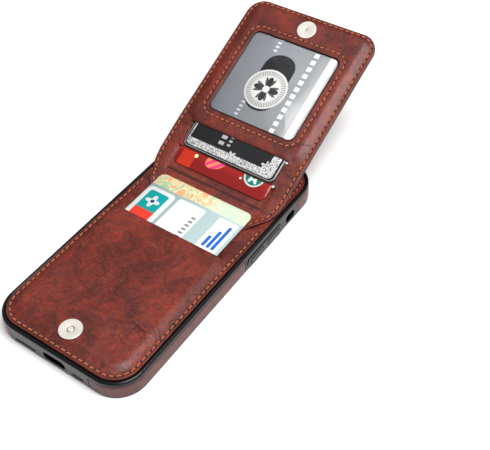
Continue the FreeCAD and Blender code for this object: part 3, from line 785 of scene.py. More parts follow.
def flap_top(x, s):
    """The level of the flap's inner leather: two slits where it steps up and a padded part
    round the window."""
    wide = np.abs(x)
    soft = np.maximum(wide - SLIT_HALF, 0) * 1.6
    low_mid, high_mid = sum(LOW_SLIT) / 2, sum(HIGH_SLIT) / 2
    floor = CREASE_N - 0.06 - 0.44 * smooth(-0.8, 3.3, s)
    step = smooth(low_mid - 0.25 - soft, low_mid + 0.25 + soft, s)
    centre = floor + (DIVIDER_N - floor) * step
    lip = -0.3 + 0.32 * smooth(29.0, 31.3, s)
    step = smooth(high_mid - 0.3 - soft, high_mid + 0.3 + soft, s)
    centre = centre + (lip - centre) * step
    margin = CREASE_N + (EDGE_N - CREASE_N) * smooth(5, 30, s)
    padded = smooth(-0.3, 4.6, box_distance(x, s, PADDED_HALF, 29.4, FLAP_END, 6.0))
    margin = margin + (0 - margin) * padded
    within = 1 - smooth(SLIT_HALF - 0.1, SLIT_HALF + 1.9, wide)
    within = within * (1 - smooth(33.0, 34.0, s))
    level = margin + (centre - margin) * within
    return level + 0.05 * ripple(x, s, 9.0, 3.0) * smooth(0, 5, rim_distance(x, s))


def flap_inner_high(x, s, edge):
    return flap_top(x, s) - 0.75 * round_over(edge, 0.55)


def seam_level(s):
    """The level at which the flap's two sheets are sewn together."""
    return CREASE_N - THICK + (SEAM_N - CREASE_N + THICK) * smooth(4, 14, s)


def beside_slits(x):
    return smooth(SLIT_HALF + 0.2, SLIT_HALF + 1.4, np.abs(x))


def flap_inner_low(x, s, edge):
    """The inner leather's underside, which is thinner between the slits, over the card."""
    between = smooth(13.4, 14.2, s) * (1 - smooth(30.2, 31.0, s))
    thin = flap_top(x, s) - THICK + 0.19 * between
    outside = np.maximum(beside_slits(x), 1 - smooth(2.5, 4.0, rim_distance(x, s)))
    low = np.where(s < 4, CREASE_N - 0.4, thin)
    return low + (seam_level(s) - low) * outside


def flap_back(x, s):
    """The level of the outer face of the flap's plain outer leather."""
    rim = rim_distance(x, s)
    level = BACK_N + (BACK_EDGE_N - BACK_N) * (1 - smooth(0.5, 4.0, rim))
    near = np.interp(s - CREASE_S, [-2.6, -0.9, 0.4, 1.2, 2.4, 4.2],
                     [-0.78, -0.78, -0.56, -0.56, -0.9, level.mean() - CREASE_N])
    return np.where(s - CREASE_S < 4.2, CREASE_N + near, level)


def flap_back_low(x, s, edge):
    return flap_back(x, s) + 0.5 * round_over(edge, 0.45)


def flap_back_high(x, s, edge):
    thick = np.maximum(flap_back(x, s) + 0.45, -3.4)
    high = np.where(s < 4, CREASE_N - 0.41, thick)
    return high + (seam_level(s) - 0.01 - high) * beside_slits(x)


def pocket_face(x, s):
    """The outer face of the card pocket on the flap's outside."""
    swell = smooth(1.2, 7.0, rim_distance(x, s))
    rise = POCKET_OUT - BACK_EDGE_N - 0.05 * ripple(x, s, 10.0, 8.0)
    return BACK_EDGE_N + rise * swell


def flap_outline(low):
    """The flap's outline in (x, s) from a level edge up."""
    return rounded(-FLAP_HALF, FLAP_HALF, low, FLAP_END, (0, 0, FLAP_CORNER, FLAP_CORNER))


TAB_SHOULDER = (34.4, 34.6)
TAB_BEND = (29.5, 22.5)
TAB_FLAT = (23.0, 22.5)


def bend(start, corner, end, count=9):
    """A smooth curve from start to end that heads for the corner between them."""
    t = np.linspace(0, 1, count)[:, None]
    start, corner, end = (np.array(p, float) for p in (start, corner, end))
    return (1 - t) ** 2 * start + 2 * t * (1 - t) * corner + t ** 2 * end


def with_tab(upper):
    """An outline that ends in the tab, which narrows away from the crease."""
    right = [(x, CREASE_S - (CREASE_Y - y)) for x, y in bend(TAB_FLAT, TAB_BEND, TAB_SHOULDER)]
    right += [(FLAP_HALF - 1.3, 2.6), (FLAP_HALF - 0.5, 6.0), (FLAP_HALF, 10.0)]
    left = [(-x, s) for x, s in reversed(right)]
    return fill_in(np.array(right + list(upper) + left), 1.0)


flap_arc = corner_arc(FLAP_HALF - FLAP_CORNER, FLAP_END - FLAP_CORNER, FLAP_CORNER, 0, 90, 13)
flap_upper = flap_arc + [(-x, s) for x, s in reversed(flap_arc)]
inner_outline = with_tab(flap_upper)
slit_loops = [rounded(-SLIT_HALF, SLIT_HALF, low, high, (0.34,) * 4, step=0.9)
              for low, high in (LOW_SLIT, HIGH_SLIT)]
window_loop = rounded(*WINDOW[:2], *WINDOW[2:], (WINDOW_CORNER,) * 4)

# ---------------------------------------------------------------- the flap's leather


def seams_along(loop, amount, wanted):
    """The parts of a loop, moved inwards, whose points are wanted, as open lines."""
    moved = fill_in(inset(loop, amount), 0.9)
    flags = wanted(moved)
    if flags.all():
        return [np.concatenate([moved, moved[:1]])]
    first = int(np.argmin(flags))
    moved, flags = np.roll(moved, -first, 0), np.roll(flags, -first)
    runs, run = [], []
    for point, flag in zip(moved, flags):
        if flag:
            run.append(point)
        elif run:
            runs.append(np.array(run))
            run = []
    if run:
        runs.append(np.array(run))
    return [run for run in runs if len(run) > 5]


flap_rim_seams = seams_along(
    inner_outline, STITCH_IN, lambda p: (np.abs(p[:, 0]) > 27.4) | (p[:, 1] > 50))
window_seams = seams_along(window_loop, -2.85, lambda p: np.full(len(p), True))

inner_leather = sheet(
    "flap_inner_leather", inner_outline, flap_inner_high, flap_inner_low, over_crease, LEATHER,
    holes=[window_loop, *slit_loops],
    seams=flap_rim_seams + window_seams,
)

narrow = [(FLAP_HALF, OUTER_MOUTH + 1.2), (BACK_SIDE, OUTER_MOUTH + 1.6), (BACK_SIDE, 101.5)]
outer_outline = with_tab(narrow + [(-x, s) for x, s in reversed(narrow)])
outer_leather = sheet(
    "flap_outer_leather_sheet", outer_outline, flap_back_high, flap_back_low, over_crease,
    LEATHER, hidden="top",
)


def pocket_low(x, s, edge):
    return pocket_face(x, s) + 0.45 * round_over(edge, 0.4)


def pocket_high(x, s, edge):
    solid = np.maximum(smooth(28.1, 28.8, np.abs(x)), smooth(102.4, 103.2, s))
    return POCKET_UNDER + (SEAM_N - 0.02 - POCKET_UNDER) * solid


outer_rim_outline = flap_outline(OUTER_MOUTH)
outer_rim_seams = seams_along(outer_rim_outline, STITCH_IN, lambda p: p[:, 1] > 36.6)
pocket_panel = sheet(
    "flap_pocket_panel", outer_rim_outline, pocket_high, pocket_low, over_crease, LEATHER,
    shift=200.0, hidden="top",
)
overlay_outline = fill_in(np.array([
    (-FLAP_HALF, OUTER_MOUTH), (FLAP_HALF, OUTER_MOUTH), (FLAP_HALF, VEE_SIDE), (0.0, VEE_TIP),
    (-FLAP_HALF, VEE_SIDE)]), 1.0)


def overlay_low(x, s, edge):
    return pocket_face(x, s) - 0.4 * smooth(0, 0.5, edge) + 0.05


overlay = sheet(
    "flap_pocket_overlay", overlay_outline, lambda x, s, edge: pocket_face(x, s) + 0.06,
    overlay_low, over_crease, LEATHER, shift=300.0, hidden="top",
)

# ---------------------------------------------------------------- the case's leather

inside_half = HALF_W - WALL
inside_long = HALF_L - WALL
inside_corner = CASE_CORNER - WALL
BEZEL_LOW, BEZEL_HIGH = node_box("camera_bezel")
FOOT = 10.9
CARD_UNDER = 11.85
PANEL_UNDER = 9.42
POCKET_BASE = 9.45
BEZEL_CORNER = 9.0
CUTOUT, CUTOUT_CORNER = (-31.4, -1.8, 37.2, 69.2), 8.0
POCKET_INSIDE = 28.2
POCKET_FLOOR = -58.8


def notched_outline(amount):
    """The back leather's outline: the inside of the rim with a notch for the camera."""
    half, long = inside_half - amount, inside_long - amount
    radius = inside_corner - amount
    right, low = BEZEL_HIGH[0] + amount, BEZEL_LOW[1] - amount
    corner = BEZEL_CORNER + amount
    points = corner_arc(-half + radius, -long + radius, radius, 180, 270)
    points += corner_arc(half - radius, -long + radius, radius, 270, 360)
    points += corner_arc(half - radius, long - radius, radius, 0, 90)
    points += [(right, long)]
    points += corner_arc(right - corner, low + corner, corner, 0, -90)
    points += [(-half, low)]
    return fill_in(np.array(points), 1.0)


def case_rim(x, y):
    """Distance from the leather's edge along the rim."""
    return box_distance(x, y, inside_half - 0.25, -inside_long + 0.25, inside_long - 0.25,
                        inside_corner - 0.25)


def case_top(x, y):
    """The level of the case's leather: flat at the camera end, raised over the pocket."""
    rim = case_rim(x, y)
    wide = np.abs(x)
    below = 1 - smooth(-1.0, 14.0, y)
    panel = PANEL_TOP + 0.04 + (FOOT - PANEL_TOP - 0.04) * below
    sharp = 1 - smooth(POCKET_MOUTH - 0.05, POCKET_MOUTH + 0.35, y)
    beside = 1 - smooth(POCKET_MOUTH - 8.0, POCKET_MOUTH + 7.0, y)
    outside = smooth(POCKET_INSIDE - 0.6, POCKET_INSIDE + 2.2, wide)
    raised = sharp + (beside - sharp) * outside
    level = np.where(wide < POCKET_INSIDE, PANEL_TOP + (FOOT - PANEL_TOP) * sharp, panel)
    level = panel + (level - panel) * (1 - outside)
    swell = smooth(2.4, 7.2, rim)
    ridge = 0.08 * np.exp(-((rim - 7.0) / 1.3) ** 2)
    level = level + (POCKET_TOP - FOOT + ridge) * swell * raised
    return level + 0.06 * ripple(x, y, 11.0, 1.0) * swell * raised


def case_high(x, y, edge):
    return case_top(x, y) - 0.5 * round_over(edge, 0.5)


def case_low(x, y, edge):
    solid = np.maximum(smooth(POCKET_INSIDE - 0.2, POCKET_INSIDE + 0.5, np.abs(x)),
                       1 - smooth(POCKET_FLOOR - 0.6, POCKET_FLOOR, y))
    solid = np.maximum(solid, smooth(POCKET_MOUTH + 0.1, POCKET_MOUTH + 0.4, y))
    return CARD_UNDER + (PANEL_UNDER - CARD_UNDER) * solid


panel_outline = notched_outline(0.25)
pocket_slit = rounded(-POCKET_INSIDE, POCKET_INSIDE, POCKET_MOUTH, POCKET_MOUTH + 0.5,
                      (0.2,) * 4, step=0.9)
panel_seams = seams_along(panel_outline, 1.65, lambda p: (p[:, 1] < 27.0) | (
    (p[:, 1] > 36.5) & (p[:, 0] > -1)))
case_leather = sheet(
    "case_leather", panel_outline, case_high, case_low, on_case, LEATHER,
    holes=[pocket_slit], seams=panel_seams, shift=100.0,
)
pocket_floor = sheet(
    "pocket_floor_leather", rounded(-28.6, 28.6, POCKET_FLOOR - 0.4, POCKET_MOUTH + 1.5, (1,) * 4),
    flat_at(PANEL_TOP - 0.05), flat_at(POCKET_BASE), on_case, LEATHER, edges=(0.5,),
    spacing=4.0, shift=150.0,
)

# ---------------------------------------------------------------- camera bezel

bezel_points = [(-inside_half + 0.1, BEZEL_LOW[1])]
bezel_points += corner_arc(BEZEL_HIGH[0] - BEZEL_CORNER, BEZEL_LOW[1] + BEZEL_CORNER,
                           BEZEL_CORNER, 270, 360)
bezel_points += [(BEZEL_HIGH[0], inside_long - 0.1)]
bezel_points += corner_arc(-inside_half + inside_corner, inside_long - inside_corner,
                           inside_corner - 0.1, 90, 180)
bezel_outline = fill_in(np.array(bezel_points), 1.0)
cutout_loop = rounded(*CUTOUT, (CUTOUT_CORNER,) * 4)


def bezel_top(x, y, edge):
    inner, outer = (distance_to(np.stack([x, y], axis=1), loop)
                    for loop in (cutout_loop, bezel_outline))
    lip = 0.45 * (1 - smooth(0.9, 1.6, inner))
    return (10.45 + lip - 0.5 * round_over(inner, 0.45) - 0.7 * round_over(outer, 0.5))


bezel = sheet(
    "camera_frame", bezel_outline, bezel_top, flat_at(RIM_LEVEL), on_case, RUBBER,
    holes=[cutout_loop], edges=(0.12, 0.3, 0.55, 0.9, 1.25, 1.7),
)

# ---------------------------------------------------------------- bumper and its strips

STRIP_LOW_Z, STRIP_HIGH_Z = node_box("lower_left_strip")[0][2], node_box("lower_left_strip")[1][2]
STRIP_DEPTH, STRIP_PROUD, STRIP_ROUND = 0.5, 0.1, 0.3


def case_path(step=3.0):
    """Stations round the case's outline, anticlockwise from the middle of the lower end,
    with their outward normals."""
    cx, cy = HALF_W - CASE_CORNER, HALF_L - CASE_CORNER
    points, normals = [], []

    def straight(a, b, normal):
        count = max(1, int(np.linalg.norm(np.subtract(b, a)) / step))
        for k in range(count):
            points.append(np.add(a, np.subtract(b, a) * (k / count)))
            normals.append(normal)

    def turn(x, y, start):
        for angle in np.radians(np.arange(start, start + 90, 5.0)):
            normal = (math.cos(angle), math.sin(angle))
            points.append((x + CASE_CORNER * normal[0], y + CASE_CORNER * normal[1]))
            normals.append(normal)

    straight((0, -HALF_L), (cx, -HALF_L), (0, -1))
    turn(cx, -cy, -90)
    straight((HALF_W, -cy), (HALF_W, cy), (1, 0))
    turn(cx, cy, 0)
    straight((cx, HALF_L), (-cx, HALF_L), (0, 1))
    turn(-cx, cy, 90)
    straight((-HALF_W, cy), (-HALF_W, -cy), (-1, 0))
    turn(-cx, -cy, 180)
    straight((-cx, -HALF_L), (0, -HALF_L), (0, -1))
    return np.array(points, float), np.array(normals, float)


PATH, NORMALS = case_path()
LOOP, TURNING = (np.concatenate([rows, rows[:1]]) for rows in (PATH, NORMALS))
RUN = run_of(LOOP)
TOTAL = RUN[-1]


def station(at):
    """The point and outward normal at a distance round the outline."""
    point, normal = (np.array([np.interp(at % TOTAL, RUN, column) for column in rows.T])
                     for rows in (LOOP, TURNING))
    return point, normal / np.linalg.norm(normal)


def run_at(x, y):
    """The distance round the outline of the station nearest a point."""
    gaps = np.linalg.norm(PATH - (x, y), axis=1)
    index = int(gaps.argmin())
    best, low = None, 1e9
    for k in (index - 1, index):
        a, b = PATH[k % len(PATH)], PATH[(k + 1) % len(PATH)]
        t = np.clip(np.dot((x, y) - a, b - a) / np.dot(b - a, b - a), 0, 1)
        gap = np.linalg.norm(a + t * (b - a) - (x, y))
        if gap < low:
            best, low = RUN[k % len(PATH)] + t * np.linalg.norm(b - a), gap
    return best


STRIPS = {
    "lower_right_strip": (run_at(19, -HALF_L), run_at(HALF_W, 11)),
    "upper_right_strip": (run_at(HALF_W, 55), run_at(19, HALF_L)),
    "upper_left_strip": (run_at(-19, HALF_L), run_at(-HALF_W, 55)),
    "lower_left_strip": (run_at(-HALF_W, 11), run_at(-25, -HALF_L)),
}


def bumper_profile(recess):
    """The wall's section as (outwards, height), with the strip's groove where recess is 1."""
    d = STRIP_DEPTH * recess
    low, high = STRIP_LOW_Z, STRIP_HIGH_Z
    profile = [(-0.8, 0.0), (-0.35, 0.1), (-0.08, 0.4), (0.0, low - 0.1), (-d, low),
               (-d, (low + high) / 2), (-d, high), (0.0, high + 0.1), (0.0, 8.7)]
    profile += corner_arc(-RIM_ROUND, RIM_LEVEL, RIM_ROUND, 15, 90, 5)
    profile += corner_arc(-RIM_ROUND, RIM_LEVEL, RIM_ROUND, 110, 150, 2)
    profile += [(-WALL - 0.02, 9.5), (-WALL, 9.0), (-WALL, 0.8), (-WALL - 1.5, 0.8),
                (-WALL - 1.5, 0.25), (-WALL - 1.25, 0.0)]
    return np.array(profile)


def loft(name, stations, profiles, material, closed):
    """Joins a profile at each station, in (outwards, height), into one surface."""
    points = []
    for at, profile in zip(stations, profiles):
        place, normal = station(at)
        points.extend((*(place + normal * outwards), height) for outwards, height in profile)
    ring, count = len(profiles[0]), len(stations)
    faces = rings(ring, count, closed) + ([] if closed else caps(ring, count))
    around = run_of(profiles[0])
    flat = np.stack([np.repeat(stations, ring), np.tile(around, count),
                     np.zeros(count * ring)], axis=1)
    item = new_mesh(name, points, faces, material, flat, np.zeros(len(points)))
    fix_normals(item)
    return item


bumper_stations, bumper_recess = [], []
marks = sorted((at, start) for name in STRIPS for start, at in zip((1, 0), STRIPS[name]))
covered = 0
for at in sorted(list(RUN[:-1]) + [m for m, _ in marks]):
    match = [start for m, start in marks if abs(m - at) < 1e-6]
    if match:
        for offset, value in ((-0.03, 1 - match[0]), (0.03, match[0])):
            bumper_stations.append(at + offset)
            bumper_recess.append(value)
        covered = match[0]
    elif all(abs(m - at) > 0.1 for m, _ in marks):
        bumper_stations.append(at)
        bumper_recess.append(covered)
bumper = loft("rubber_bumper", bumper_stations, [bumper_profile(r) for r in bumper_recess],
              RUBBER, closed=True)


def rounded_block(name, low, high, radius, axis, material):
    """A block with its four edges along the given axis rounded."""
    a, b = [k for k in range(3) if k != axis]
    loop = rounded(low[a], high[a], low[b], high[b], (radius,) * 4, step=50)
    points = [np.insert(p, axis, level) for level in (low[axis], high[axis]) for p in loop]
    item = new_mesh(name, points, rings(len(loop), 2) + caps(len(loop), 2), material)
    fix_normals(item)
    return item


def cut(item, blocks):
    """Takes blocks away from a piece and removes them."""
    bpy.context.view_layer.update()
    for block in blocks:
        change = item.modifiers.new("cut", "BOOLEAN")
        change.operation = "DIFFERENCE"
        change.solver = "EXACT"
        change.object = block
        bpy.context.view_layer.objects.active = item
        bpy.ops.object.modifier_apply(modifier=change.name)
        bpy.data.objects.remove(block)


def flat_shade(item, angle=35):
    """Keeps edges sharper than the angle sharp."""
    bpy.ops.object.select_all(action="DESELECT")
    item.select_set(True)
    bpy.context.view_layer.objects.active = item
    bpy.ops.object.shade_smooth_by_angle(angle=math.radians(angle))


deep = HALF_L - WALL - 1
wide = HALF_W - WALL - 1
VOLUME_LOW, VOLUME_HIGH = node_box("volume_down_button")[0], node_box("volume_up_button")[1]


def surround_block(name, side, low, high):
    """The raised rim round the buttons of one side of the case."""
    inner, outer = sorted((side * (HALF_W - 0.6), side * (HALF_W + 0.32)))
    return rounded_block(name, (inner, low, 0.95), (outer, high, 6.45), 2.6, 0, RUBBER)


surround = surround_block("volume_surround", 1, VOLUME_LOW[1] - 2.2, VOLUME_HIGH[1] + 2.2)
power_low, power_high = node_box("power_button")
power_surround = surround_block("power_surround", -1, power_low[1] - 2.0, power_high[1] + 2.0)
END_OPENINGS = {"port": (-6.3, 6.3, 7.1, 2.2), "speaker": (9.7, 16.1, 3.7, 0.6),
                "microphone": (-23.0, -11.0, 3.7, 0.6)}
blocks = [rounded_block(f"cut_{name}", (left, -HALF_L - 1, 2.3), (right, -deep, top), radius, 1,
                        RUBBER)
          for name, (left, right, top, radius) in END_OPENINGS.items()]
blocks.append(rounded_block("cut_mute", (wide, 44.6, 1.9), (HALF_W + 1, 52.2, 6.5), 2.0, 0,
                            RUBBER))
button_cuts = []
for name in ("volume_down_button", "volume_up_button", "power_button"):
    low, high = node_box(name)
    for target in (bumper, surround if low[0] > 0 else power_surround):
        button_cuts.append((target, rounded_block(
            f"cut_{name}", (low[0] - 1, low[1] - 0.15, low[2] - 0.15),
            (high[0] + 1, high[1] + 0.15, high[2] + 0.15), 1.6, 0, RUBBER)))
cut(bumper, blocks + [block for target, block in button_cuts if target is bumper])
for target in (surround, power_surround):
    cut(target, [block for owner, block in button_cuts if owner is target])
for item in (bumper, surround, power_surround):
    flat_shade(item)


def strip_profile():
    low, high = STRIP_LOW_Z + 0.07, STRIP_HIGH_Z - 0.07
    face = STRIP_PROUD - STRIP_ROUND
    profile = [(-STRIP_DEPTH, low), (-0.25, low)]
    profile += corner_arc(face, low + STRIP_ROUND, STRIP_ROUND, -60, 0, 2)
    profile += [(STRIP_PROUD, height) for height in np.linspace(low + 1.2, high - 1.2, 5)]
    profile += corner_arc(face, high - STRIP_ROUND, STRIP_ROUND, 0, 60, 2)
    return np.array(profile + [(-0.25, high), (-STRIP_DEPTH, high)])


def strip(name, start, end):
    """One leather strip, thinned at its ends so that they look folded in."""
    length = (end - start) % TOTAL
    at = start + np.concatenate([[0.12, 0.2, 0.4], np.linspace(0.9, length - 0.9, int(length)),
                                 [length - 0.4, length - 0.2, length - 0.12]])
    full = strip_profile()
    profiles = []
    for place in at:
        end_gap = min(place - start, start + length - place)
        profile = full.copy()
        profile[:, 0] = np.maximum(profile[:, 0] - 0.3 * (1 - smooth(0.1, 0.6, end_gap)),
                                   -STRIP_DEPTH)
        profiles.append(profile)
    # The strips take the darker leather copy: painted shade.
    return loft(name, at, profiles, SHADED_STRIP_LEATHER, closed=False)


strips = {name: strip(f"{name}_leather", *ends) for name, ends in STRIPS.items()}


def button(node):
    """A soft oblong button with rounded edges."""
    low, high = node_box(node)
    side = 1 if low[0] > 0 else -1
    loop = rounded(low[1], high[1], low[2], high[2], (1.5,) * 4, step=0.6)
    middle = (low + high) / 2
    inner, outer = (low[0], high[0]) if side > 0 else (high[0], low[0])
    count = len(loop)
    steps = ((inner, 0), (outer - side * 0.45, 0), (outer - side * 0.2, 0.12),
             (outer - side * 0.05, 0.4), (outer, 0.9))
    points = [(level, y, z) for level, shrink in steps for y, z in inset(loop, shrink)]
    points.append((outer, middle[1], middle[2]))
    top = (len(steps) - 1) * count
    faces = rings(count, len(steps)) + caps(count, len(steps))[:1]
    faces += [(top + k, top + (k + 1) % count, top + count) for k in range(count)]
    item = new_mesh(f"{node}_cap", points, faces, RUBBER)
    fix_normals(item)
    return item


buttons = {node: button(node) for node in
           ("volume_up_button", "volume_down_button", "power_button")}

# ---------------------------------------------------------------- snaps


def rolled(radius, height, boss, boss_height):
    """A snap's profile: a rolled rim, a flat disc and a button set in a narrow groove."""
    profile = [(radius - 0.25, 0.0), (radius, height * 0.35), (radius - 0.02, height * 0.6)]
    for angle in np.radians((20, 50, 80, 110)):
        profile.append((radius - 0.3 + 0.3 * math.cos(angle), height - 0.2
                        + 0.2 * math.sin(angle)))
    profile += [(radius - 1.0, height - 0.05), (boss + 0.35, height - 0.07),
                (boss + 0.2, height - 0.12), (boss + 0.15, height - 0.42),
                (boss - 0.15, height - 0.42), (boss - 0.2, height + boss_height * 0.5),
                (boss - 0.45, height + boss_height), (0.02, height + boss_height)]
    return profile


def groove_shade_ring(name, place, axis, radius):
    """A dark ring of painted shade on the floor of the groove round a snap's button."""
    profile = [(radius + 0.2, 0.0), (radius + 0.18, 0.1), (radius - 0.2, 0.1),
               (radius - 0.22, 0.0)]
    return lathe(name, profile, place, axis, HOLE_SHADE, segments=40)


BASE_BUTTON, FLAP_BUTTON = 1.55, 0.62
BASE_SNAP_Y, FLAP_SNAP_S = -63.0, 96.8
base_snap_place = np.array([0, BASE_SNAP_Y, POCKET_TOP - 0.04])
base_snap = lathe("base_snap", rolled(5.25, 0.75, BASE_BUTTON, 0.02), base_snap_place, (0, 0, 1),
                  METAL)
base_snap_groove_shade = groove_shade_ring("base_snap_groove_shade", base_snap_place + (0, 0, 0.38), (0, 0, 1),
                               BASE_BUTTON)
flap_snap = lathe("flap_snap", rolled(5.0, 0.6, FLAP_BUTTON, 0.0),
                  on_flap(0.0, FLAP_SNAP_S, -0.03)[0], OUT, METAL)
flap_snap_groove_shade = groove_shade_ring("flap_snap_groove_shade", on_flap(0.0, FLAP_SNAP_S, 0.2)[0], OUT,
                               FLAP_BUTTON)

# ---------------------------------------------------------------- window


def tube(name, loop, radius, level, place, material, sides=8):
    """A thin round cord along a closed level loop."""
    across = left_of(unit(np.roll(loop, -1, 0) - np.roll(loop, 1, 0)))
    turn = np.arange(sides) * 2 * math.pi / sides
    points = [(*(at + out * radius * math.cos(a)), level + radius * math.sin(a))
              for at, out in zip(loop, across) for a in turn]
    faces = rings(sides, len(loop), closed=True)
    item = new_mesh(name, place(*np.array(points).T), faces, material)
    fix_normals(item)
    return item


window_edge = tube("window_edge", inset(window_loop, 0.2), 0.3, -0.3, on_flap, RUBBER)
film_outline = rounded(-27.0, 27.0, 36.6, 89.8, (4.0,) * 4, step=3.0)
window_film = sheet(
    "window_film_sheet", film_outline, flat_at(-0.47), flat_at(-0.58), on_flap, FILM,
    edges=(0.5,), spacing=4.0,
)

slot_dots = [lathe(f"slot_end_{number}", [(0.7, 0.0), (0.65, 0.12), (0.02, 0.14)],
                   on_flap(27.75, place, level)[0], OUT, PALE, segments=24)
             for number, (place, level) in enumerate(((15.35, -1.92), (28.55, -1.3)), start=1)]

# ---------------------------------------------------------------- cards


CARD_HALF = 26.99
CARD_LENGTH = 85.6
CARD_THICK = 0.76
CARD_CORNER = 3.18


def make_card(name, half, length, thickness, place, material):
    """A flat card with rounded corners, bevelled a little at its edges. place takes
    (x, distance from its lower end, height)."""
    loop = rounded(-half, half, 0.0, length, (CARD_CORNER,) * 4, step=2.0)
    bevel = 0.1
    steps = ((0, bevel), (bevel, 0), (thickness - bevel, 0), (thickness, bevel))
    points = np.array([(x, y, height) for height, shrink in steps
                       for x, y in inset(loop, shrink)])
    faces = rings(len(loop), len(steps)) + caps(len(loop), len(steps))
    flat = points - (0, length / 2, 0)
    item = new_mesh(name, place(*points.T), faces, material, flat)
    flat_shade(item, 50)
    return item


def base_paint(g, x, y):
    """Pale blue grey with a marbled band at the top and three panels."""
    flat = g.attribute("flat")
    middle = (-19.0, 24.4)
    shade = g.mix(g.step(-20.0, 20.0, x), colour(150, 172, 174), colour(170, 190, 190))
    swirl = g.noise(flat, 0.11, 3.0, 0.5, 3.2)
    marble = g.mix(g.step(0.4, 0.5, swirl), colour(240, 170, 122), colour(226, 218, 176))
    marble = g.mix(g.step(0.52, 0.6, swirl), marble, colour(170, 200, 158))
    marble = g.mix(g.step(-2.0, 14.0, x) * 0.8, marble, colour(196, 220, 196))
    wave = g.noise(flat, 0.05, 1.0) * 3.0 + 33.4
    shade = g.mix(g.step(-0.3, 0.3, y - wave), shade, marble)
    white = colour(226, 228, 226)
    shade = g.mix(g.block(x, y, -26.6, -10.6, 8.0, 33.0, 2.6), shade, white)
    badge = g.mix(g.step(18.2, 18.5, y), colour(238, 68, 52), colour(20, 160, 162))
    badge = g.mix(g.rosette(x, y, *middle, 2.9, 1.1, 4), badge, white)
    badge = g.mix(g.disc(x, y, *middle, 1.1), badge, colour(48, 78, 132))
    shade = g.mix(g.block(x, y, -24.4, -13.4, 10.5, 30.8, 1.3), shade, badge)
    shade = g.mix(g.block(x, y, -8.8, 7.0, 0.0, 33.2, 1.8), shade, white)
    shade = g.mix(g.bars(x, y, 3.2, 5.6, 9.0, 27.0, 2.6, 0.45), shade, colour(120, 124, 128))
    shade = g.mix(g.block(x, y, 14.6, 25.5, 0.0, 33.4, 0.8), shade, colour(226, 226, 218))
    for number, (low, high) in enumerate(((14.6, 21.5), (14.6, 26.0), (14.6, 30.5))):
        left = 16.8 + number * 2.6
        bar = g.block(x, y, left, left + 1.7, low, high, 0.5)
        shade = g.mix(bar, shade, colour(30, 96, 190))
    return shade


def id_paint(g, x, y):
    """Silver grey with a dark panel, a round medallion and a pale stripe."""
    flat = g.attribute("flat")
    middle, pale = (-2.4, -7.0), colour(216, 217, 220)
    shade = g.mix(g.step(-24.0, 20.0, x), colour(134, 136, 144), colour(146, 148, 150))
    waves = g.math("SINE", y * 5.0 + g.math("SINE", x * 0.8) * 2.0)
    shade = g.mix(g.step(0.2, 1.0, waves) * 0.12, shade, colour(196, 198, 200))
    shade = g.mix(g.block(x, y, -10.8, 6.4, -19.5, 13.4, 8.0), shade, colour(40, 40, 43))
    away, angle = g.polar(x, y, *middle)
    coin = g.mix(g.step(3.0, 10.5, away), colour(244, 243, 240), colour(206, 206, 204))
    rays = g.math("SINE", angle * 48.0)
    coin = g.mix(g.step(0.1, 0.6, rays) * g.step(7.6, 7.9, away), coin, colour(150, 150, 148))
    coin = g.mix(g.rosette(x, y, *middle, 4.2, 2.6, 8, math.pi), coin, colour(96, 96, 98))
    coin = g.mix(g.rosette(x, y, *middle, 4.0, 3.0, 4), coin, colour(52, 52, 54))
    coin = g.mix(g.disc(x, y, *middle, 1.9), coin, colour(236, 235, 232))
    coin = g.mix(g.step(10.2, 10.5, away), coin, colour(228, 228, 226))
    shade = g.mix(g.disc(x, y, *middle, 11.2), shade, coin)
    shade = g.mix(g.bars(x, y, 11.0, 13.6, -28.0, 22.0, 4.1, 0.62), shade, colour(242, 243, 244))
    shade = g.mix(g.bars(x, y, -10.4, -8.4, -26.0, -17.0, 2.4, 0.5), shade,
                  pale)
    shade = g.mix(g.bars(x, y, -10.4, -8.4, 13.0, 21.0, 2.4, 0.5), shade, pale)
    grit = g.noise(flat, 1.2, 2.0, 0.7)
    stripe = g.mix(grit, colour(180, 182, 180), colour(222, 223, 222))
    return g.mix(g.block(x, y, 19.6, 23.4, -34.0, 34.0, 0.3), shade, stripe)


def black_paint(g, x, y):
    """Black with an ornate silver border."""
    flat = g.attribute("flat")
    grey = colour(184, 184, 184)
    shade = g.mix(g.noise(flat, 0.1), colour(30, 31, 33), colour(44, 45, 47))
    curls = g.noise(flat, 0.7, 3.0, 0.6, 3.0)
    silver = g.mix(g.step(0.42, 0.56, curls), colour(112, 112, 114), colour(232, 232, 230))
    border = g.block(x, y, -25.6, 25.0, -41.3, 41.3, 2.4)
    inner = g.block(x, y, -24.9, 20.4, -37.4, 38.0, 0.6)
    shade = g.mix(border - inner * border, shade, silver)
    shade = g.mix(g.rosette(x, y, 0.4, -38.6, 2.2, 0.7, 6), shade, silver)
    shade = g.mix(g.rosette(x, y, 20.0, -36.8, 2.9, 0.8, 7), shade, silver)
    rim = g.block(x, y, -26.5, 26.5, -42.3, 42.3, 2.8)
    line = rim - g.block(x, y, -26.2, 26.2, -42.0, 42.0, 2.6)
    shade = g.mix(line * 0.6, shade, colour(200, 200, 200))
    shade = g.mix(g.bars(x, y, -9.4, -6.4, -35.8, -27.0, 3.4, 0.55), shade, grey)
    return g.mix(g.bars(x, y, -4.6, -2.8, -35.0, -27.0, 2.3, 0.5), shade, grey)


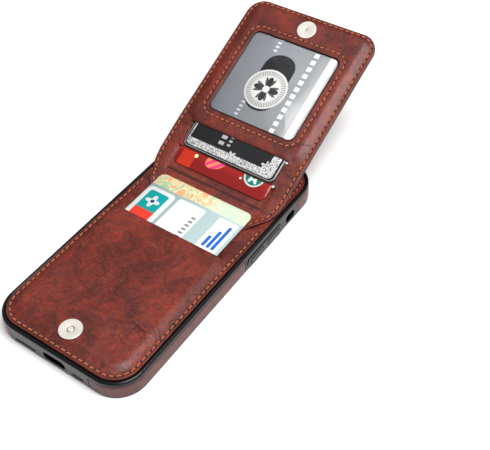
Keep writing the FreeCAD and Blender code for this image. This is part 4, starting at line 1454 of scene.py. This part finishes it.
def red_paint(g, x, y):
    """Dark red with an orange block, a two-coloured leaf and a round badge."""
    middle, green = (16.8, -33.0), colour(24, 122, 104)
    shade = g.mix(g.step(-38.5, -34.0, y), colour(142, 32, 32), colour(162, 40, 38))
    shade = g.mix(g.block(x, y, -24.4, -16.6, -50.0, -34.2, 0.2), shade, colour(206, 56, 34))
    shade = g.mix(g.disc(x, y, -16.4, -35.6, 1.05), shade, colour(248, 242, 190))
    leaf = g.disc(x, y, -7.0, -31.0, 7.6) * g.disc(x, y, -3.0, -35.5, 7.4)
    stripes = g.step(-0.1, 0.3, g.math("SINE", (x - y) * 1.3))
    petal = g.mix(stripes, colour(238, 66, 128), colour(244, 142, 108))
    shade = g.mix(leaf, shade, petal)
    away, _ = g.polar(x, y, *middle)
    badge = g.mix(g.rosette(x, y, *middle, 3.0, 1.1, 6), green,
                  colour(236, 244, 240))
    badge = g.mix(g.disc(x, y, *middle, 1.3), badge, green)
    badge = g.mix(g.step(4.6, 4.8, away), badge, colour(206, 226, 220))
    shade = g.mix(g.disc(x, y, *middle, 5.5), shade, badge)
    return g.mix(g.disc(x, y, 10.6, -36.6, 0.6), shade, colour(240, 240, 226))


def outer_paint(g, x, y):
    """Orange and pink turning to green, with a white swoosh and a blue band."""
    flat = g.attribute("flat")
    warm = g.mix(g.step(-26.0, -12.0, x), colour(240, 108, 66), colour(238, 160, 150))
    slant = x + (y + 37.0) * 0.5
    shade = g.mix(g.step(-8.0, -3.0, slant), warm, colour(58, 184, 128))
    shade = g.mix(g.step(0.45, 0.65, g.noise(flat, 0.12, 2.0, 0.5, 1.0)) * 0.35, shade,
                  colour(120, 206, 160))
    away, _ = g.polar(x, y, -15.0, -30.0)
    swoosh = g.step(5.2, 5.6, away) - g.step(8.0, 9.0, away)
    shade = g.mix(swoosh, shade, colour(252, 248, 244))
    shade = g.mix(g.block(slant, y, 6.2, 11.6, -60.0, 60.0, 0.1), shade, colour(142, 160, 222))
    return g.mix(g.bars(x, y, 16.0, 23.0, -38.0, -30.0, 2.6, 0.4), shade, colour(160, 222, 190))


BASE_CARD_LOW = node_box("base_card")[0]
CARD_SIZES = {
    "id_card": (70.0, 0.4, 31.4, -1.04, id_paint),
    "black_card": (CARD_LENGTH, CARD_THICK, 16.0, -1.84, black_paint),
    "red_card": (CARD_LENGTH, CARD_THICK, 6.5, -2.98, red_paint),
    "outer_card": (CARD_LENGTH, CARD_THICK, 6.0, -4.62, outer_paint),
}


def flap_card(name, length, thickness, low, level, paint):
    return make_card(f"{name}_print", CARD_HALF, length, thickness,
                     lambda x, y, z: on_flap(x, y + low, z + level),
                     card_face(f"{name}_face", paint))


cards = {name: flap_card(name, *sizes) for name, sizes in CARD_SIZES.items()}
cards["base_card"] = make_card(
    "base_card_print", CARD_HALF, CARD_LENGTH, CARD_THICK,
    lambda x, y, z: on_case(x, y + BASE_CARD_LOW[1], z + BASE_CARD_LOW[2]),
    card_face("base_card_face", base_paint))

# ---------------------------------------------------------------- stitching


def sunk(level, depth=0.1):
    return lambda x, y: level(x, y) - depth


flap_stitches = stitches("flap_stitching", flap_rim_seams, sunk(flap_top), over_crease, THREAD,
                         HOLE_SHADE)
window_stitches = stitches("window_seam_stitching", window_seams, sunk(flap_top), on_flap,
                           THREAD, HOLE_SHADE)
outer_rim_stitches = stitches("outer_rim_stitching", outer_rim_seams,
                              sunk(pocket_face, -0.02), on_flap, THREAD, HOLE_SHADE,
                              sign=-1.0)
mouth_row = np.array([(-FLAP_HALF + 1.7, OUTER_MOUTH + 1.7),
                      (FLAP_HALF - 1.7, OUTER_MOUTH + 1.7)])
left_side = np.array([(-33.85, OUTER_MOUTH + 3.5), (-33.85, 33.0)])
right_side = left_side * (-1, 1)
VEE_GAP, VEE_IN = 1.9, 2.1
vee_end = FLAP_HALF - VEE_IN
vee_low = VEE_SIDE + (VEE_TIP - VEE_SIDE) / FLAP_HALF * VEE_IN - VEE_GAP
vee = np.array([(-vee_end, vee_low), (0.0, VEE_TIP - VEE_GAP), (vee_end, vee_low)])
overlay_stitches = stitches(
    "overlay_seam_stitching", [mouth_row, left_side, right_side, vee],
    lambda x, s: pocket_face(x, s) - 0.35, on_flap, THREAD, HOLE_SHADE, sign=-1.0)
case_stitches = stitches("case_stitching", panel_seams, sunk(case_top), on_case, THREAD, HOLE_SHADE)

# ---------------------------------------------------------------- what each piece stands for

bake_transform(inner_leather)
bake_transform(outer_leather)
for item in flap_stitches:
    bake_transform(item)
on_bodies = {
    "case": [case_leather, pocket_floor, bezel, bumper, surround, power_surround, base_snap,
             base_snap_groove_shade, *strips.values(), *case_stitches],
    "flap": [pocket_panel, overlay, flap_snap, flap_snap_groove_shade, window_edge, window_film,
             *slot_dots, *window_stitches, *outer_rim_stitches, *overlay_stitches],
    **{f"{name}_body": [item] for name, item in cards.items()},
    **{f"{name}_body": [item] for name, item in buttons.items()},
}
for body, items in on_bodies.items():
    for item in items:
        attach(item, body)

stands_for = [
    (inner_leather, "leather", "flap_window_panel", "slot_divider", "flap_hem", "flap_lining",
     "hinge_tab", "hinge_fold"),
    (outer_leather, "leather", "flap_outer_leather"),
    (pocket_panel, "leather", "outer_pocket_panel", "outer_pocket_hem"),
    (overlay, "leather", "outer_overlay"),
    (case_leather, "leather", "pocket_front", "pocket_hem", "back_leather_panel"),
    (bezel, "bumper", "camera_bezel"),
    (bumper, "bumper", "tpu_bumper"),
    (base_snap, "snap_metal", "base_snap_disc", "base_snap_boss"),
    (flap_snap, "snap_metal", "flap_snap_disc"),
    (window_film, "clear_film", "id_window_film"),
    (flap_stitches[0], "thread", "flap_inner_stitching", "tab_stitching"),
    (window_stitches[0], "thread", "window_stitching"),
    (outer_rim_stitches[0], "thread", "outer_pocket_stitching"),
    (overlay_stitches[0], "thread", "overlay_stitching"),
    (case_stitches[0], "thread", "pocket_stitching", "back_panel_stitching"),
    *[(item, "leather", name) for name, item in strips.items()],
    *[(item, "bumper", name) for name, item in buttons.items()],
    *[(item, f"{name}_print", name) for name, item in cards.items()],
]
for item, slot, *nodes in stands_for:
    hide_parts(*nodes)
for node, material, slot in (("hard_back_plate", PLATE, "back_plate"),
                             ("microfibre_lining", LINING, "lining_cloth")):
    item = frame["nodes"][node]
    item.data.materials.clear()
    item.data.materials.append(material)

# ---------------------------------------------------------------- floor, light and camera


def floor():
    reach = 3000.0
    corners = [(-reach, -reach, 0), (reach, -reach, 0), (reach, reach, 0), (-reach, reach, 0)]
    white = Graph("white_floor").finish(Base_Color=(0.9, 0.9, 0.9, 1), Roughness=0.6)
    new_mesh("floor", corners, [(0, 1, 2, 3)], white)


def soft_light(name, place, target, size, power):
    lamp = bpy.data.lights.new(name, "AREA")
    lamp.shape = "DISK"
    lamp.size = size
    lamp.energy = power
    item = bpy.data.objects.new(name, lamp)
    item.location = place
    item.rotation_mode = "QUATERNION"
    item.rotation_quaternion = (Vector(target) - Vector(place)).to_track_quat("-Z", "Y")
    bpy.context.scene.collection.objects.link(item)


floor()
world = bpy.data.worlds.new("studio")
bpy.context.scene.world = world
world.use_nodes = True
sky = world.node_tree
position = sky.nodes.new("ShaderNodeTexCoord")
height = sky.nodes.new("ShaderNodeSeparateXYZ")
ramp = sky.nodes.new("ShaderNodeMapRange")
ramp.interpolation_type = "SMOOTHSTEP"
for socket, value in zip(ramp.inputs[1:5], (0.15, 0.95, 0.05, 0.5)):
    socket.default_value = value
sky.links.new(position.outputs["Generated"], height.inputs[0])
sky.links.new(height.outputs[2], ramp.inputs[0])
sky.links.new(ramp.outputs[0], sky.nodes["Background"].inputs[1])
sky.nodes["Background"].inputs[0].default_value = (1, 1, 1, 1)
soft_light("overhead", (0.36, 0.0, 0.9), (0, 0, 0), 0.6, 12.0)
soft_light("front", (0.55, -0.5, 0.7), (0, 0, 0.02), 0.4, 0.7)

AZIMUTH, ELEVATION, ROLL = (math.radians(v) for v in (36.6, 47.0, -2.8))
LENS, DISTANCE, SHIFT_X, SHIFT_Y = 62.3, 398.0, -36.7, -13.4
back = Vector((math.sin(AZIMUTH) * math.cos(ELEVATION),
               -math.cos(AZIMUTH) * math.cos(ELEVATION), math.sin(ELEVATION)))
level = Vector((math.cos(AZIMUTH), math.sin(AZIMUTH), 0))
upward = back.cross(level)
right = math.cos(ROLL) * level + math.sin(ROLL) * upward
top = math.cos(ROLL) * upward - math.sin(ROLL) * level
lens = bpy.data.cameras.new("camera")
lens.lens = LENS
lens.sensor_width = 36.0
lens.clip_start = 0.01
camera = bpy.data.objects.new("camera", lens)
camera.matrix_world = (Matrix.Translation((back * DISTANCE - right * SHIFT_X - top * SHIFT_Y) * MM)
                       @ Matrix((right, top, back)).transposed().to_4x4())
bpy.context.scene.collection.objects.link(camera)
bpy.context.scene.camera = camera
bpy.context.scene.view_settings.view_transform = "Standard"
